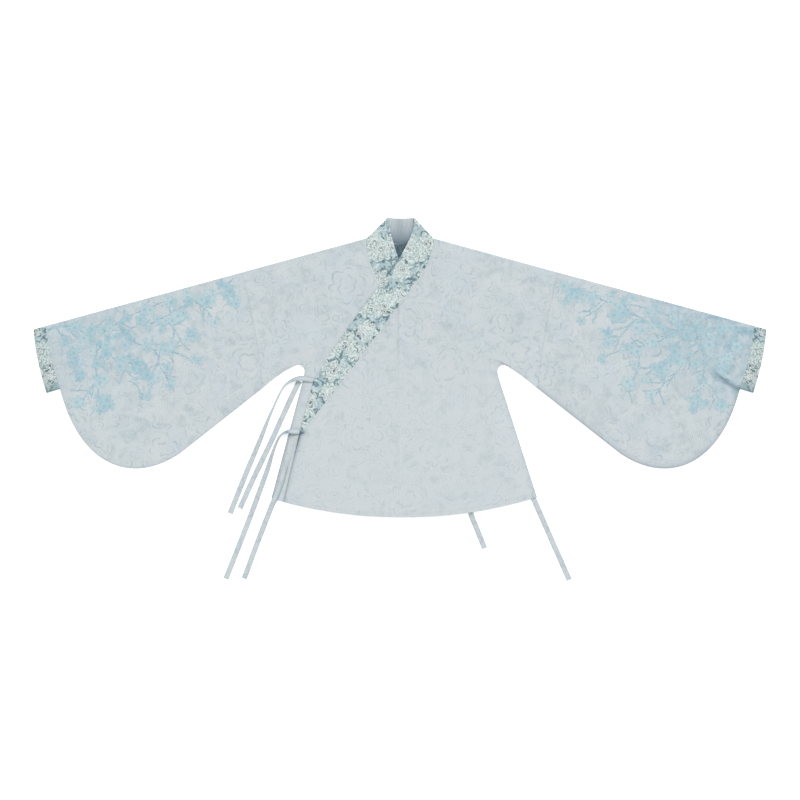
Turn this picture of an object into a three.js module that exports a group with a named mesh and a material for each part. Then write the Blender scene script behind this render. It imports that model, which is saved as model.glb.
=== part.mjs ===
// A short cross-collar jacket with pipa sleeves, laid flat on its back, the left front crossed over the right.
// Millimetres, +X towards the wearer's left cuff, +Y towards the collar, +Z up from the surface it lies on.
// Each cut piece of cloth is a wall of even thickness whose middle is worked out from section lines.
import * as THREE from "three";

// ---- Cloth and layers ------------------------------------------------------------------------------------
const CLOTH = 1.0; // wall of the body, lapels, sleeves and ties
const BAND = 1.2; // wall of the doubled collar and cuff bands
const GAP = 0.3; // between neighbouring pieces
const SLANT_GAP = GAP * 1.6; // the same gap where it is measured along X or Y across a slanted seam

// Heights of the middle of each layer above the surface
const BACK_LEVEL = CLOTH / 2;
const INNER_LEVEL = BACK_LEVEL + CLOTH + GAP; // right front and inner lapel
const TIE_LEVEL = INNER_LEVEL + CLOTH + GAP; // what lies on them
const OUTER_LEVEL = TIE_LEVEL + CLOTH + GAP; // left front and outer lapel
const BAND_BACK_LEVEL = BAND / 2;
const BAND_INNER_LEVEL = BAND_BACK_LEVEL + BAND + GAP;
const BAND_OUTER_LEVEL = OUTER_LEVEL + (BAND - CLOTH) / 2;

// ---- Garment sizes ---------------------------------------------------------------------------------------
const CENTRE_X = -4; // centre front and back seams
const SHOULDER = { x: 79, y: 378.5 }; // where the shoulder fold meets the collar, on each side
const SHOULDER_FALL = 0.2733; // fall of the shoulder fold for each millimetre outwards
const SLEEVE_SEAM = { topX: 372, lowX: 323, lowY: 26, bow: -5.8 }; // where the sleeve is sewn to the body
const ARMPIT = { y: 66, radius: 15, startAngle: 50 }; // rounded notch under the arm
const UNDERARM = [284, 58]; // a place on the soft curve between the sleeve seam and the notch
const SIDES = {
  left: { sign: 1, armpitX: 244, sideX: 229, hemX: 322, hemY: -230, seamLift: TIE_LEVEL - INNER_LEVEL },
  right: { sign: -1, armpitX: 239, sideX: 224, hemX: 302, hemY: -233, seamLift: 0 },
};
const SIDE_TOP_Y = 60; // top of the straight side seam
const HEM = { y: -277, curve: 4.95e-4 }; // the hem rises as curve * x * x
const RAMP = 36; // width over which the left front comes down to its outer edge

const SLEEVE = {
  cornerX: 516, // end of the straight underarm edge
  cornerY: -126,
  roundOut: [628, -204], // pulls of the round lower corner
  roundIn: [753, -158],
  wristX: 798, // lower end of the cuff seam
  wristY: 25,
  leanSeam: 0.18, // sideways lean of the section lines at the body and at the wrist
  leanWrist: 0.231,
};
const CUFF = { innerTopX: 832, outerTopX: 861, outerLow: [830, 15], bow: 4.5 };

// Necklines, each from the shoulder down to the centre seam and then on to the end of the lapel
const OUTER_NECK = {
  sewn: [[SHOULDER.x, SHOULDER.y], [79, 318], [28, 262], [CENTRE_X, 222]],
  free: [[34, 427], [37, 385], [-8, 318], [-50, 265]],
  sewnLow: [[CENTRE_X, 222], [-128, 45], [-236, -81]],
  freeLow: [[-50, 265], [-125, 170], [-203, 45]],
  lapelHemX: -274,
};
const INNER_NECK = {
  sewn: [[-SHOULDER.x, SHOULDER.y], [-82, 325], [-42, 248], [CENTRE_X, 201]],
  free: [[-29, 427], [-20, 375], [0, 300], [46, 240]],
  sewnLow: [[CENTRE_X, 201], [118, 35], [222, -80]],
  freeLow: [[46, 240], [125, 150], [205, 25]],
  lapelHemX: 268,
};
const BACK_NECK = { dipY: 352, topDipY: 423 }; // pulls of the lower and upper edges of the back collar
const BODY_NECK = { centreY: 365, pullY: 358, reach: 0.5 }; // upper edge of the back panels, under that collar
const LAPEL_RAMP = 40; // width over which the outer lapel comes down to its free edge

// Where the section lines start: along the neckline, from 0 at the shoulder to 1 at the centre, then down it
const FRONT_NECK_STEPS = [0, 0.2, 0.42, 0.62, 0.8, 1];
const FRONT_CENTRE_Y = [185, 150, 105, 50, -30, -110, -193, HEM.y];
const BACK_NECK_STEPS = [0, 0.45, 0.8, 1];
const BACK_CENTRE_Y = [320, 275, 230, 180, 120, 50, -30, -110, -193, HEM.y];
const SEAM_STEPS = [0, 1 / 3, 2 / 3, 1]; // along the sleeve seam
const ARMPIT_STEPS = [0, 0.31, 0.65, 1]; // round the armpit notch
const SIDE_STEPS = [0.2, 0.4, 0.6, 0.8, 1]; // down the side seam
const LAPEL_STEPS = [0.03, 0.1, 0.22, 0.36, 0.5, 0.64, 0.78, 0.9, 1]; // along the sewn edge of a lapel
const LAPEL_EDGE_STEPS = [0.25, 0.5, 0.75, 1]; // down its free edge
const LAPEL_FALL = [ // down the centre seam
  0.016, 0.05, 0.12, 0.21, 0.31, 0.42, 0.54, 0.64, 0.72, 0.79, 0.86, 0.93, 1];

// ---- Tie routes ------------------------------------------------------------------------------------------
// Each tie is a flat strap. on is the height of what it lies on, and turn its twist from flat, in degrees.
const TIE_WIDTH = 13;
const ON_STRIP = INNER_LEVEL + CLOTH / 2 + GAP;
const ON_BACK = CLOTH + GAP;
const TIES = {
  tie_outer_upper: [
    { x: -204.2, y: 45, on: ON_STRIP, turn: 0 },
    { x: -224, y: 49, on: ON_STRIP, turn: 0 },
    { x: -243, y: 48, on: ON_STRIP, turn: 8 },
    { x: -266, y: 37, on: 0, turn: 40 },
    { x: -279, y: 20, on: 0, turn: 58 },
    { x: -295, y: -14, on: 0, turn: 58 },
    { x: -310, y: -48, on: 0, turn: 40 },
    { x: -328, y: -94, on: 0, turn: 0 },
    { x: -364, y: -180, on: 0, turn: 0 },
    { x: -399, y: -268, on: 0, turn: 0 },
  ],
  tie_side_upper: [
    { x: -236.5, y: 43, on: 0, turn: 0 },
    { x: -262, y: -10, on: 0, turn: 0 },
    { x: -304, y: -102, on: 0, turn: 0 },
    { x: -341, y: -179, on: 0, turn: 0 },
    { x: -376, y: -256, on: 0, turn: 0 },
  ],
  tie_outer_lower: [
    { x: -236.4, y: -75, on: ON_STRIP, turn: 0 },
    { x: -250, y: -75, on: ON_STRIP, turn: 8 },
    { x: -265, y: -76, on: ON_STRIP, turn: 24 },
    { x: -280, y: -84, on: 0.8, turn: 52 },
    { x: -290, y: -102, on: 0, turn: 52 },
    { x: -301, y: -132, on: 0, turn: 20 },
    { x: -314.5, y: -174, on: 0, turn: 0 },
    { x: -359.5, y: -296, on: 0, turn: 0 },
    { x: -409, y: -421.5, on: 0, turn: 0 },
  ],
  tie_side_lower: [
    { x: -254, y: -97, on: ON_STRIP, turn: 0 },
    { x: -267, y: -150, on: ON_STRIP, turn: 0 },
    { x: -278, y: -193, on: ON_STRIP, turn: 0 },
    { x: -291, y: -229, on: ON_STRIP, turn: 0 },
    { x: -297.5, y: -242, on: ON_STRIP, turn: 0 },
    { x: -309.5, y: -271, on: 0, turn: 0 },
    { x: -338, y: -345, on: 0, turn: 0 },
    { x: -366, y: -421, on: 0, turn: 0 },
  ],
  tie_inner_lapel: [
    { x: 213, y: -98, on: ON_STRIP, turn: 0 },
    { x: 190, y: -150, on: ON_STRIP, turn: 0 },
    { x: 167, y: -205, on: ON_STRIP, turn: 0 },
    { x: 162, y: -245, on: ON_STRIP, turn: 0 },
    { x: 168, y: -272, on: ON_STRIP, turn: 0 },
    { x: 178, y: -298, on: 0, turn: 0 },
    { x: 199, y: -350, on: 0, turn: 0 },
  ],
  tie_inner_side: [
    { x: 249, y: -78, on: ON_BACK, turn: 0 },
    { x: 276, y: -150, on: ON_BACK, turn: 0 },
    { x: 297, y: -198, on: ON_BACK, turn: 0 },
    { x: 314, y: -234, on: ON_BACK, turn: 0 },
    { x: 326, y: -261, on: 0, turn: 0 },
    { x: 362, y: -343, on: 0, turn: 0 },
    { x: 398, y: -424.4, on: 0, turn: 0 },
  ],
};
const TIE_SECTIONS_PER_STEP = 2;

// ---- Small maths -----------------------------------------------------------------------------------------
const flat = ([x, y]) => new THREE.Vector2(x, y);
const shoulderY = (x) => SHOULDER.y - SHOULDER_FALL * (x - SHOULDER.x);
const hemY = (x) => HEM.y + HEM.curve * x * x;
const smooth = (value) => THREE.MathUtils.smoothstep(value, 0, 1);

function curveThrough(pulls) {
  const points = pulls.map(flat);
  if (points.length === 4) return new THREE.CubicBezierCurve(...points);
  return new THREE.QuadraticBezierCurve(...points);
}

// A section line from top to low that bows outwards by bow at its middle
function bowedLine(top, low, bow) {
  const along = low.clone().sub(top).normalize();
  const outwards = new THREE.Vector2(-along.y, along.x).multiplyScalar(Math.sign(top.x));
  const pull = top.clone().add(low).multiplyScalar(0.5).addScaledVector(outwards, 2 * bow);
  return new THREE.QuadraticBezierCurve(top, pull, low);
}

const mirrored = (points, sign) => points.map((p) => new THREE.Vector2(p.x * sign, p.y));

// ---- Cloth solids ----------------------------------------------------------------------------------------
// rows holds the middle of the cloth as rows of points. Each point is moved half the wall both ways along the
// normal, and the rim is closed. With ring, each row closes on itself: the cloth is a tube with open ends.
function clothSolid(rows, wall, ring = false) {
  const down = rows.length;
  const across = rows[0].length;
  const at = (i, j) => rows[THREE.MathUtils.clamp(i, 0, down - 1)][
    ring ? (j + across) % across : THREE.MathUtils.clamp(j, 0, across - 1)];
  const positions = [];
  for (const face of [1, -1]) {
    for (let i = 0; i < down; i++) {
      for (let j = 0; j < across; j++) {
        const alongRow = at(i, j + 1).clone().sub(at(i, j - 1));
        const alongColumn = at(i + 1, j).clone().sub(at(i - 1, j));
        const normal = alongRow.cross(alongColumn).normalize();
        positions.push(...at(i, j).clone().addScaledVector(normal, (face * wall) / 2));
      }
    }
  }
  const triangles = [];
  const quad = (a, b, c, d) => triangles.push(a, b, c, a, c, d);
  const outer = (i, j) => i * across + (j % across);
  const inner = (i, j) => down * across + outer(i, j);
  const columns = ring ? across : across - 1;
  for (let i = 0; i < down - 1; i++) {
    for (let j = 0; j < columns; j++) {
      quad(outer(i, j), outer(i, j + 1), outer(i + 1, j + 1), outer(i + 1, j));
      quad(inner(i, j), inner(i + 1, j), inner(i + 1, j + 1), inner(i, j + 1));
    }
    if (!ring) {
      quad(outer(i, 0), outer(i + 1, 0), inner(i + 1, 0), inner(i, 0));
      const last = across - 1;
      quad(outer(i, last), inner(i, last), inner(i + 1, last), outer(i + 1, last));
    }
  }
  for (let j = 0; j < columns; j++) {
    quad(outer(0, j), inner(0, j), inner(0, j + 1), outer(0, j + 1));
    const end = down - 1;
    quad(outer(end, j), outer(end, j + 1), inner(end, j + 1), inner(end, j));
  }
  const geometry = new THREE.BufferGeometry();
  geometry.setAttribute("position", new THREE.Float32BufferAttribute(positions, 3));
  geometry.setIndex(signedVolume(positions, triangles) < 0 ? turned(triangles) : triangles);
  geometry.computeVertexNormals();
  return geometry;
}

function signedVolume(positions, triangles) {
  const corner = (k) => new THREE.Vector3().fromArray(positions, triangles[k] * 3);
  let volume = 0;
  for (let k = 0; k < triangles.length; k += 3) volume += corner(k).dot(corner(k + 1).cross(corner(k + 2))) / 6;
  return volume;
}

function turned(triangles) {
  const back = [];
  for (let k = 0; k < triangles.length; k += 3) back.push(triangles[k], triangles[k + 2], triangles[k + 1]);
  return back;
}

// The half circle of cloth round a fold, from the upper layer to the lower one, without its two ends
const FOLD_ANGLES = [45, 90, 135].map(THREE.MathUtils.degToRad);
function foldPoints(edge, outwards, upper, lower, wall) {
  const radius = (upper - lower) / 2;
  const place = (angle) => {
    const reach = radius * Math.sin(angle) - radius - wall / 2;
    return new THREE.Vector3(
      edge.x + outwards.x * reach, edge.y + outwards.y * reach, (upper + lower) / 2 + radius * Math.cos(angle));
  };
  return { start: place(0), turn: FOLD_ANGLES.map(place), end: place(Math.PI) };
}

// Where the points lie along a section line: evenly, then closer over the ramp at its outer end
function columnSteps(length, ramp) {
  const share = Math.min(ramp / length, 0.5);
  const even = [0, 0.25, 0.5, 0.75].map((step) => step * (1 - share));
  const close = [1, 2 / 3, 1 / 3, 0].map((step) => 1 - step * share);
  return [...even, ...close];
}

// One row of points from start to end, hung by sag at its middle. level gives the height, from a place and its
// distance to the end.
function sectionRow(start, end, ramp, level, sag = 0) {
  const length = start.distanceTo(end);
  return columnSteps(length, ramp).map((step) => {
    const place = start.clone().lerp(end, step);
    place.y -= 4 * sag * step * (1 - step);
    return new THREE.Vector3(place.x, place.y, level(place, (1 - step) * length));
  });
}

// ---- Body: front and back of one side, cut in one and folded at the shoulder ------------------------------
function bodyEdge(side) {
  const top = new THREE.Vector2(SLEEVE_SEAM.topX, shoulderY(SLEEVE_SEAM.topX));
  const low = new THREE.Vector2(SLEEVE_SEAM.lowX, SLEEVE_SEAM.lowY);
  const seam = bowedLine(top, low, SLEEVE_SEAM.bow);
  const startAngle = THREE.MathUtils.degToRad(ARMPIT.startAngle);
  const notch = ARMPIT_STEPS.map((step) => {
    const angle = THREE.MathUtils.lerp(startAngle, Math.PI, step);
    return new THREE.Vector2(
      side.armpitX + ARMPIT.radius * Math.cos(angle), ARMPIT.y + ARMPIT.radius * Math.sin(angle));
  });
  const sideTop = new THREE.Vector2(side.sideX, SIDE_TOP_Y);
  const hemCorner = new THREE.Vector2(side.hemX, side.hemY);
  const sideSeam = SIDE_STEPS.map((step) => sideTop.clone().lerp(hemCorner, step));
  const edge = [...SEAM_STEPS.map((step) => seam.getPoint(step)), flat(UNDERARM), ...notch, ...sideSeam];
  return mirrored(edge, side.sign);
}

function startPoints(neck, neckSteps, centreY) {
  const centre = centreY.map((y) => new THREE.Vector2(CENTRE_X, y));
  return [...neckSteps.map((step) => neck.getPoint(step)), ...centre];
}

function bodyGeometry(side, frontNeck, frontLevel) {
  const edge = bodyEdge(side);
  const backNeck = curveThrough([
    [side.sign * SHOULDER.x, SHOULDER.y], [side.sign * SHOULDER.x * BODY_NECK.reach, BODY_NECK.pullY],
    [CENTRE_X, BODY_NECK.centreY]]);
  const fronts = startPoints(curveThrough(frontNeck), FRONT_NECK_STEPS, FRONT_CENTRE_Y);
  const backs = startPoints(backNeck, BACK_NECK_STEPS, BACK_CENTRE_Y);
  const firstSide = edge.length - SIDE_STEPS.length;

  const layer = (starts, levelOf) => starts.map((start, row) => {
    const step = Math.max(0, (row - firstSide + 1) / SIDE_STEPS.length);
    const along = edge[row].clone().sub(start).normalize();
    const from = start.clone().addScaledVector(along, GAP);
    const to = edge[row].clone();
    if (row < SEAM_STEPS.length) to.x -= side.sign * SLANT_GAP;
    const sag = (HEM.curve * (to.x - from.x) ** 2 * step ** 2) / 4;
    return sectionRow(from, to, RAMP, levelOf(step), sag);
  });
  const front = layer(fronts, (step) => (place, distance) => {
    const edgeLevel = INNER_LEVEL + side.seamLift * step;
    return THREE.MathUtils.lerp(edgeLevel, frontLevel, smooth(distance / RAMP));
  });
  const back = layer(backs, () => () => BACK_LEVEL);

  const outwards = new THREE.Vector2(SHOULDER_FALL * side.sign, 1).normalize();
  const folds = front[0].map((place) => foldPoints(place, outwards, place.z, BACK_LEVEL, CLOTH));
  const turns = FOLD_ANGLES.map((_, k) => folds.map((fold) => fold.turn[k]));
  front[0] = folds.map((fold) => fold.start);
  back[0] = folds.map((fold) => fold.end);
  return clothSolid([...front.reverse(), ...turns, ...back], CLOTH);
}

// ---- Lapels: each sewn to the centre seam of a front, and to the collar along its upper edge --------------
// How far a place is from the outer lapel's free edge, and the height of the outer lapel there
function outerLapelLevel(place) {
  const [cornerX, cornerY] = OUTER_NECK.freeLow[2];
  const [endX, endY] = OUTER_NECK.sewnLow[2];
  const hemX = OUTER_NECK.lapelHemX;
  const edgeX = place.y > endY
    ? THREE.MathUtils.mapLinear(place.y, endY, cornerY, endX, cornerX)
    : THREE.MathUtils.mapLinear(place.y, hemY(hemX), endY, hemX, endX);
  return THREE.MathUtils.lerp(TIE_LEVEL, OUTER_LEVEL, smooth((place.x - edgeX) / LAPEL_RAMP));
}

function lapelGeometry(neck, sign, levelOf) {
  const sewn = curveThrough(neck.sewnLow);
  const end = flat(neck.sewnLow[2]);
  const hemCorner = new THREE.Vector2(neck.lapelHemX, hemY(neck.lapelHemX));
  const edge = [
    ...LAPEL_STEPS.map((step) => sewn.getPoint(step)),
    ...LAPEL_EDGE_STEPS.map((step) => end.clone().lerp(hemCorner, step))];
  const topY = neck.sewnLow[0][1];
  const rows = LAPEL_FALL.map((fall, row) => {
    const from = new THREE.Vector2(CENTRE_X + sign * GAP / 2, THREE.MathUtils.lerp(topY, HEM.y, fall));
    const to = new THREE.Vector2(edge[row].x, edge[row].y - SLANT_GAP);
    const step = Math.max(0, (row - LAPEL_STEPS.length + 1) / LAPEL_EDGE_STEPS.length);
    const sag = (HEM.curve * (to.x - from.x) ** 2 * step ** 2) / 4;
    return sectionRow(from, to, LAPEL_RAMP, levelOf, sag);
  });
  return clothSolid(rows, CLOTH);
}

// ---- Collar: one band from the outer lapel's end, round the back of the neck, to the inner lapel's end -----
function collarGeometry() {
  const rows = [];
  const addRow = (sewn, free, levelOf) => {
    const middle = sewn.clone().lerp(free, 0.5);
    rows.push([sewn, middle, free].map((place) => new THREE.Vector3(place.x, place.y, levelOf(place))));
  };
  const frontRows = (neck, levelOf) => {
    const upper = FRONT_NECK_STEPS.slice(1).map((step) => [
      curveThrough(neck.sewn).getPoint(step), curveThrough(neck.free).getPoint(step)]);
    const lower = LAPEL_STEPS.map((step) => [
      curveThrough(neck.sewnLow).getPoint(step), curveThrough(neck.freeLow).getPoint(step)]);
    return [...upper, ...lower].map(([sewn, free]) => () => addRow(sewn, free, levelOf));
  };
  const fold = (neck, sign, frontLevel, fromFront) => {
    const ends = [flat(neck.sewn[0]), flat(neck.free[0])];
    const along = ends[1].clone().sub(ends[0]).normalize();
    const outwards = new THREE.Vector2(along.y, -along.x).multiplyScalar(sign);
    const across = [ends[0], ends[0].clone().lerp(ends[1], 0.5), ends[1]];
    const folds = across.map((place) => foldPoints(place, outwards, frontLevel, BAND_BACK_LEVEL, BAND));
    const turns = FOLD_ANGLES.map((_, k) => folds.map((f) => f.turn[k]));
    const whole = [folds.map((f) => f.start), ...turns, folds.map((f) => f.end)];
    rows.push(...(fromFront ? whole : whole.reverse()));
  };
  const outerLevel = (place) => outerLapelLevel(place) + BAND_OUTER_LEVEL - OUTER_LEVEL;
  frontRows(OUTER_NECK, outerLevel).reverse().forEach((add) => add());
  fold(OUTER_NECK, 1, BAND_OUTER_LEVEL, true);
  const sewnBack = curveThrough([[SHOULDER.x, SHOULDER.y], [0, BACK_NECK.dipY], [-SHOULDER.x, SHOULDER.y]]);
  const freeBack = curveThrough([OUTER_NECK.free[0], [3, BACK_NECK.topDipY], INNER_NECK.free[0]]);
  for (const step of [0.25, 0.5, 0.75]) {
    addRow(sewnBack.getPoint(step), freeBack.getPoint(step), () => BAND_BACK_LEVEL);
  }
  fold(INNER_NECK, -1, BAND_INNER_LEVEL, false);
  frontRows(INNER_NECK, () => BAND_INNER_LEVEL).forEach((add) => add());
  return clothSolid(rows, BAND);
}

// ---- Sleeves and cuffs: flattened tubes, folded along the top and sewn underneath -------------------------
function tubeRing(top, low, bow, upper, lower, wall) {
  const upwards = top.clone().sub(low).normalize();
  const topFold = foldPoints(top, upwards, upper, lower, wall);
  const lowFold = foldPoints(low, upwards.clone().negate(), upper, lower, wall);
  const [lineTop, lineLow] = [topFold.start, lowFold.start].map((p) => new THREE.Vector2(p.x, p.y));
  const line = bowedLine(lineTop, lineLow, bow);
  const layer = (level) => SEAM_STEPS.map((step) => {
    const place = line.getPoint(step);
    return new THREE.Vector3(place.x, place.y, level);
  });
  return [...layer(upper).reverse(), ...topFold.turn, ...layer(lower), ...lowFold.turn.reverse()];
}

function sleeveGeometry(sign) {
  const seamLow = new THREE.Vector2(SLEEVE_SEAM.lowX, SLEEVE_SEAM.lowY);
  const corner = new THREE.Vector2(SLEEVE.cornerX, SLEEVE.cornerY);
  const wrist = [SLEEVE.wristX, SLEEVE.wristY];
  const round = curveThrough([[SLEEVE.cornerX, SLEEVE.cornerY], SLEEVE.roundOut, SLEEVE.roundIn, wrist]);
  const straight = [0, 0.25, 0.5, 0.75].map((step) => seamLow.clone().lerp(corner, step));
  const lower = [...straight, ...round.getPoints(10)];
  const rings = lower.map((low, k) => {
    const step = k / (lower.length - 1);
    const lean = THREE.MathUtils.lerp(SLEEVE.leanSeam, SLEEVE.leanWrist, step);
    const zeroY = shoulderY(0);
    const topX = (low.x + lean * (zeroY - low.y)) / (1 + lean * SHOULDER_FALL);
    const bow = THREE.MathUtils.lerp(SLEEVE_SEAM.bow, CUFF.bow, step);
    const top = new THREE.Vector2(k === 0 ? SLEEVE_SEAM.topX : topX, shoulderY(topX));
    return tubeRing(...mirrored([top, low], sign), bow, INNER_LEVEL, BACK_LEVEL, CLOTH);
  });
  return clothSolid(rings, CLOTH, true);
}

function cuffGeometry(sign) {
  const innerTop = new THREE.Vector2(CUFF.innerTopX, shoulderY(CUFF.innerTopX));
  const outerTop = new THREE.Vector2(CUFF.outerTopX, shoulderY(CUFF.outerTopX));
  const innerLow = new THREE.Vector2(SLEEVE.wristX, SLEEVE.wristY);
  const outerLow = flat(CUFF.outerLow);
  const start = (1.5 * SLANT_GAP) / innerTop.distanceTo(outerTop);
  const rings = [start, 0.5, 1].map((step) => tubeRing(
    ...mirrored([innerTop.clone().lerp(outerTop, step), innerLow.clone().lerp(outerLow, step)], sign),
    CUFF.bow, BAND_INNER_LEVEL, BAND_BACK_LEVEL, BAND));
  return clothSolid(rings, BAND, true);
}

// ---- Ties ------------------------------------------------------------------------------------------------
function tieGeometry(route) {
  const halfWidth = TIE_WIDTH / 2;
  const line = new THREE.SplineCurve(route.map(({ x, y }) => new THREE.Vector2(x, y)));
  const steps = (route.length - 1) * TIE_SECTIONS_PER_STEP;
  const rows = [];
  for (let k = 0; k <= steps; k++) {
    const before = route[Math.floor(k / TIE_SECTIONS_PER_STEP)];
    const after = route[Math.ceil(k / TIE_SECTIONS_PER_STEP)];
    const between = (k % TIE_SECTIONS_PER_STEP) / TIE_SECTIONS_PER_STEP;
    const angle = THREE.MathUtils.degToRad(THREE.MathUtils.lerp(before.turn, after.turn, between));
    const on = THREE.MathUtils.lerp(before.on, after.on, between);
    const along = line.getTangent(k / steps);
    const across = new THREE.Vector3(
      -along.y * Math.cos(angle), along.x * Math.cos(angle), Math.sin(angle));
    const place = line.getPoint(k / steps);
    const height = on + halfWidth * Math.sin(angle) + (CLOTH / 2) * Math.cos(angle);
    const middle = new THREE.Vector3(place.x, place.y, height);
    rows.push([1, -1].map((edge) => middle.clone().addScaledVector(across, edge * halfWidth)));
  }
  return clothSolid(rows, CLOTH);
}

// ---- The jacket ------------------------------------------------------------------------------------------
const jacquard = { color: "#cdd5d8", roughness: 0.72, metalness: 0 };
const floral = { color: "#bccdcd", roughness: 0.68, metalness: 0 };

const jacket = new THREE.Group();
function addPiece(name, geometry, finish) {
  const piece = new THREE.Mesh(geometry, new THREE.MeshStandardMaterial(finish));
  piece.name = name;
  jacket.add(piece);
}

addPiece("body_left", bodyGeometry(SIDES.left, OUTER_NECK.sewn, OUTER_LEVEL), jacquard);
addPiece("body_right", bodyGeometry(SIDES.right, INNER_NECK.sewn, INNER_LEVEL), jacquard);
addPiece("outer_lapel", lapelGeometry(OUTER_NECK, -1, outerLapelLevel), jacquard);
addPiece("inner_lapel", lapelGeometry(INNER_NECK, 1, () => INNER_LEVEL), jacquard);
addPiece("collar", collarGeometry(), floral);
addPiece("sleeve_left", sleeveGeometry(1), jacquard);
addPiece("sleeve_right", sleeveGeometry(-1), jacquard);
addPiece("cuff_left", cuffGeometry(1), floral);
addPiece("cuff_right", cuffGeometry(-1), floral);
for (const [name, route] of Object.entries(TIES)) addPiece(name, tieGeometry(route), jacquard);

export default jacket;
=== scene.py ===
# %% [markdown]
# # A short cross-collar jacket, laid flat
# The jacket is woven in a pale tone-on-tone jacquard. It has wide pipa sleeves with a printed spray of
# blossom, a floral collar band and cuffs, and cloth ties. It lies on its back with the left front crossed
# over the right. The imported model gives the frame: every piece here lies where its solid lies.

# %% Load the frame
import math

import bpy
import numpy as np
from mathutils.bvhtree import BVHTree
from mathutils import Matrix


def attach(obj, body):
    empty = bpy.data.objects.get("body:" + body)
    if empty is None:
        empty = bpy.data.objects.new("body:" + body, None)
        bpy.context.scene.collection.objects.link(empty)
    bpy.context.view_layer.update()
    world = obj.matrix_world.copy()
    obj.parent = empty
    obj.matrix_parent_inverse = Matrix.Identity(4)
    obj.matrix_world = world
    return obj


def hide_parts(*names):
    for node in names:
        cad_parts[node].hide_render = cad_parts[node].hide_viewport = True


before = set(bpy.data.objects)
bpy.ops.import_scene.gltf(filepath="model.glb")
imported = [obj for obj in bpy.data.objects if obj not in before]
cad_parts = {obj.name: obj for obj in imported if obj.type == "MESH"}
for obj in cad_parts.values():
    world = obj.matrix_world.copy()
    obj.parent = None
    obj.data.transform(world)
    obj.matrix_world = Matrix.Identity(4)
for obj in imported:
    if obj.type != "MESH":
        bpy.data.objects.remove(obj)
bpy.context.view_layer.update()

# %% [markdown]
# The garment is looked at from straight above, so that its cut can be read. A long lens far away keeps the
# edges parallel. Soft light comes from the whole room, and a large softbox beyond the collar and a little
# to the right gives the folds their shade. The table glows a little itself, as a light table does, which
# clears the shadows round the outline. A sun lamp with a wide angle does for the softbox, because its light
# is the same everywhere.

# %% Camera, floor and light
VIEW_WIDTH = 1.88  # metres of the surface across the picture
CAMERA_HEIGHT, CAMERA_Y = 5.0, -0.0016
ROOM_LIGHT, SOFTBOX_LIGHT, TABLE_LIGHT = 0.68, 1.75, 0.42
SOFTBOX_SPREAD = 22  # degrees; how wide it looks
SOFTBOX_TURN = (-38, 22)  # degrees; how far it leans to the collar and to the right
FLOOR_DROP = 0.0004  # the floor is this far under the cloth, which keeps the two apart in the render
FLOOR_REACH = 40  # metres from the middle to each edge

camera_data = bpy.data.cameras.new("camera")
camera_data.lens = camera_data.sensor_width * CAMERA_HEIGHT / VIEW_WIDTH
camera = bpy.data.objects.new("camera", camera_data)
camera.location = (0, CAMERA_Y, CAMERA_HEIGHT)
bpy.context.scene.collection.objects.link(camera)
bpy.context.scene.camera = camera


def linear(hex_colour):
    """An sRGB hex colour as the linear RGBA that Blender's sockets take."""
    parts = [int(hex_colour[k:k + 2], 16) / 255 for k in (1, 3, 5)]
    return (*[v / 12.92 if v <= 0.04045 else ((v + 0.055) / 1.055) ** 2.4 for v in parts], 1.0)


def add(tree, kind, inputs=(), out=0, **settings):
    """Adds a node, sets and links its inputs by place or name, and returns the output called out."""
    node = tree.nodes.new(kind)
    for name, value in settings.items():
        setattr(node, name, value)
    for place, value in (inputs.items() if isinstance(inputs, dict) else enumerate(inputs)):
        if isinstance(value, bpy.types.NodeSocket):
            tree.links.new(value, node.inputs[place])
        elif value is not None:
            node.inputs[place].default_value = value
    return node.outputs[out] if len(node.outputs) else node


def new_material(name):
    """An empty material with its node tree."""
    material = bpy.data.materials.new(name)
    material.use_nodes = True
    material.node_tree.nodes.clear()
    return material, material.node_tree


world = bpy.data.worlds.new("soft room")
bpy.context.scene.world = world
world.use_nodes = True
world.node_tree.nodes["Background"].inputs["Color"].default_value = (1, 1, 1, 1)
world.node_tree.nodes["Background"].inputs["Strength"].default_value = ROOM_LIGHT
bpy.context.scene.view_settings.view_transform = "Standard"

lamp_data = bpy.data.lights.new("softbox", "SUN")
lamp_data.energy = SOFTBOX_LIGHT
lamp_data.angle = math.radians(SOFTBOX_SPREAD)
lamp = bpy.data.objects.new("softbox", lamp_data)
lamp.rotation_euler = (*[math.radians(turn) for turn in SOFTBOX_TURN], 0)
bpy.context.scene.collection.objects.link(lamp)

floor_mesh = bpy.data.meshes.new("floor")
floor_corners = [(x * FLOOR_REACH, y * FLOOR_REACH) for x, y in ((-1, -1), (1, -1), (1, 1), (-1, 1))]
floor_mesh.from_pydata([(*corner, -FLOOR_DROP) for corner in floor_corners], [], [(0, 1, 2, 3)])
floor = bpy.data.objects.new("floor", floor_mesh)
bpy.context.scene.collection.objects.link(floor)
table_material, table = new_material("white acrylic light table")
table_shader = add(table, "ShaderNodeBsdfPrincipled", {
    "Base Color": linear("#fbfbfb"), "Roughness": 1.0, "Specular IOR Level": 0.0,
    "Emission Color": (1, 1, 1, 1), "Emission Strength": TABLE_LIGHT})
add(table, "ShaderNodeOutputMaterial", [table_shader])
floor_mesh.materials.append(table_material)
print("camera lens", round(camera_data.lens, 1), "mm")

# %% [markdown]
# The cut is given in millimetres by the same few sizes as the solids: seams, necklines, hem and the heights
# of the layers. Only the places of the seams and the curves that join them are written down.

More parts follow.
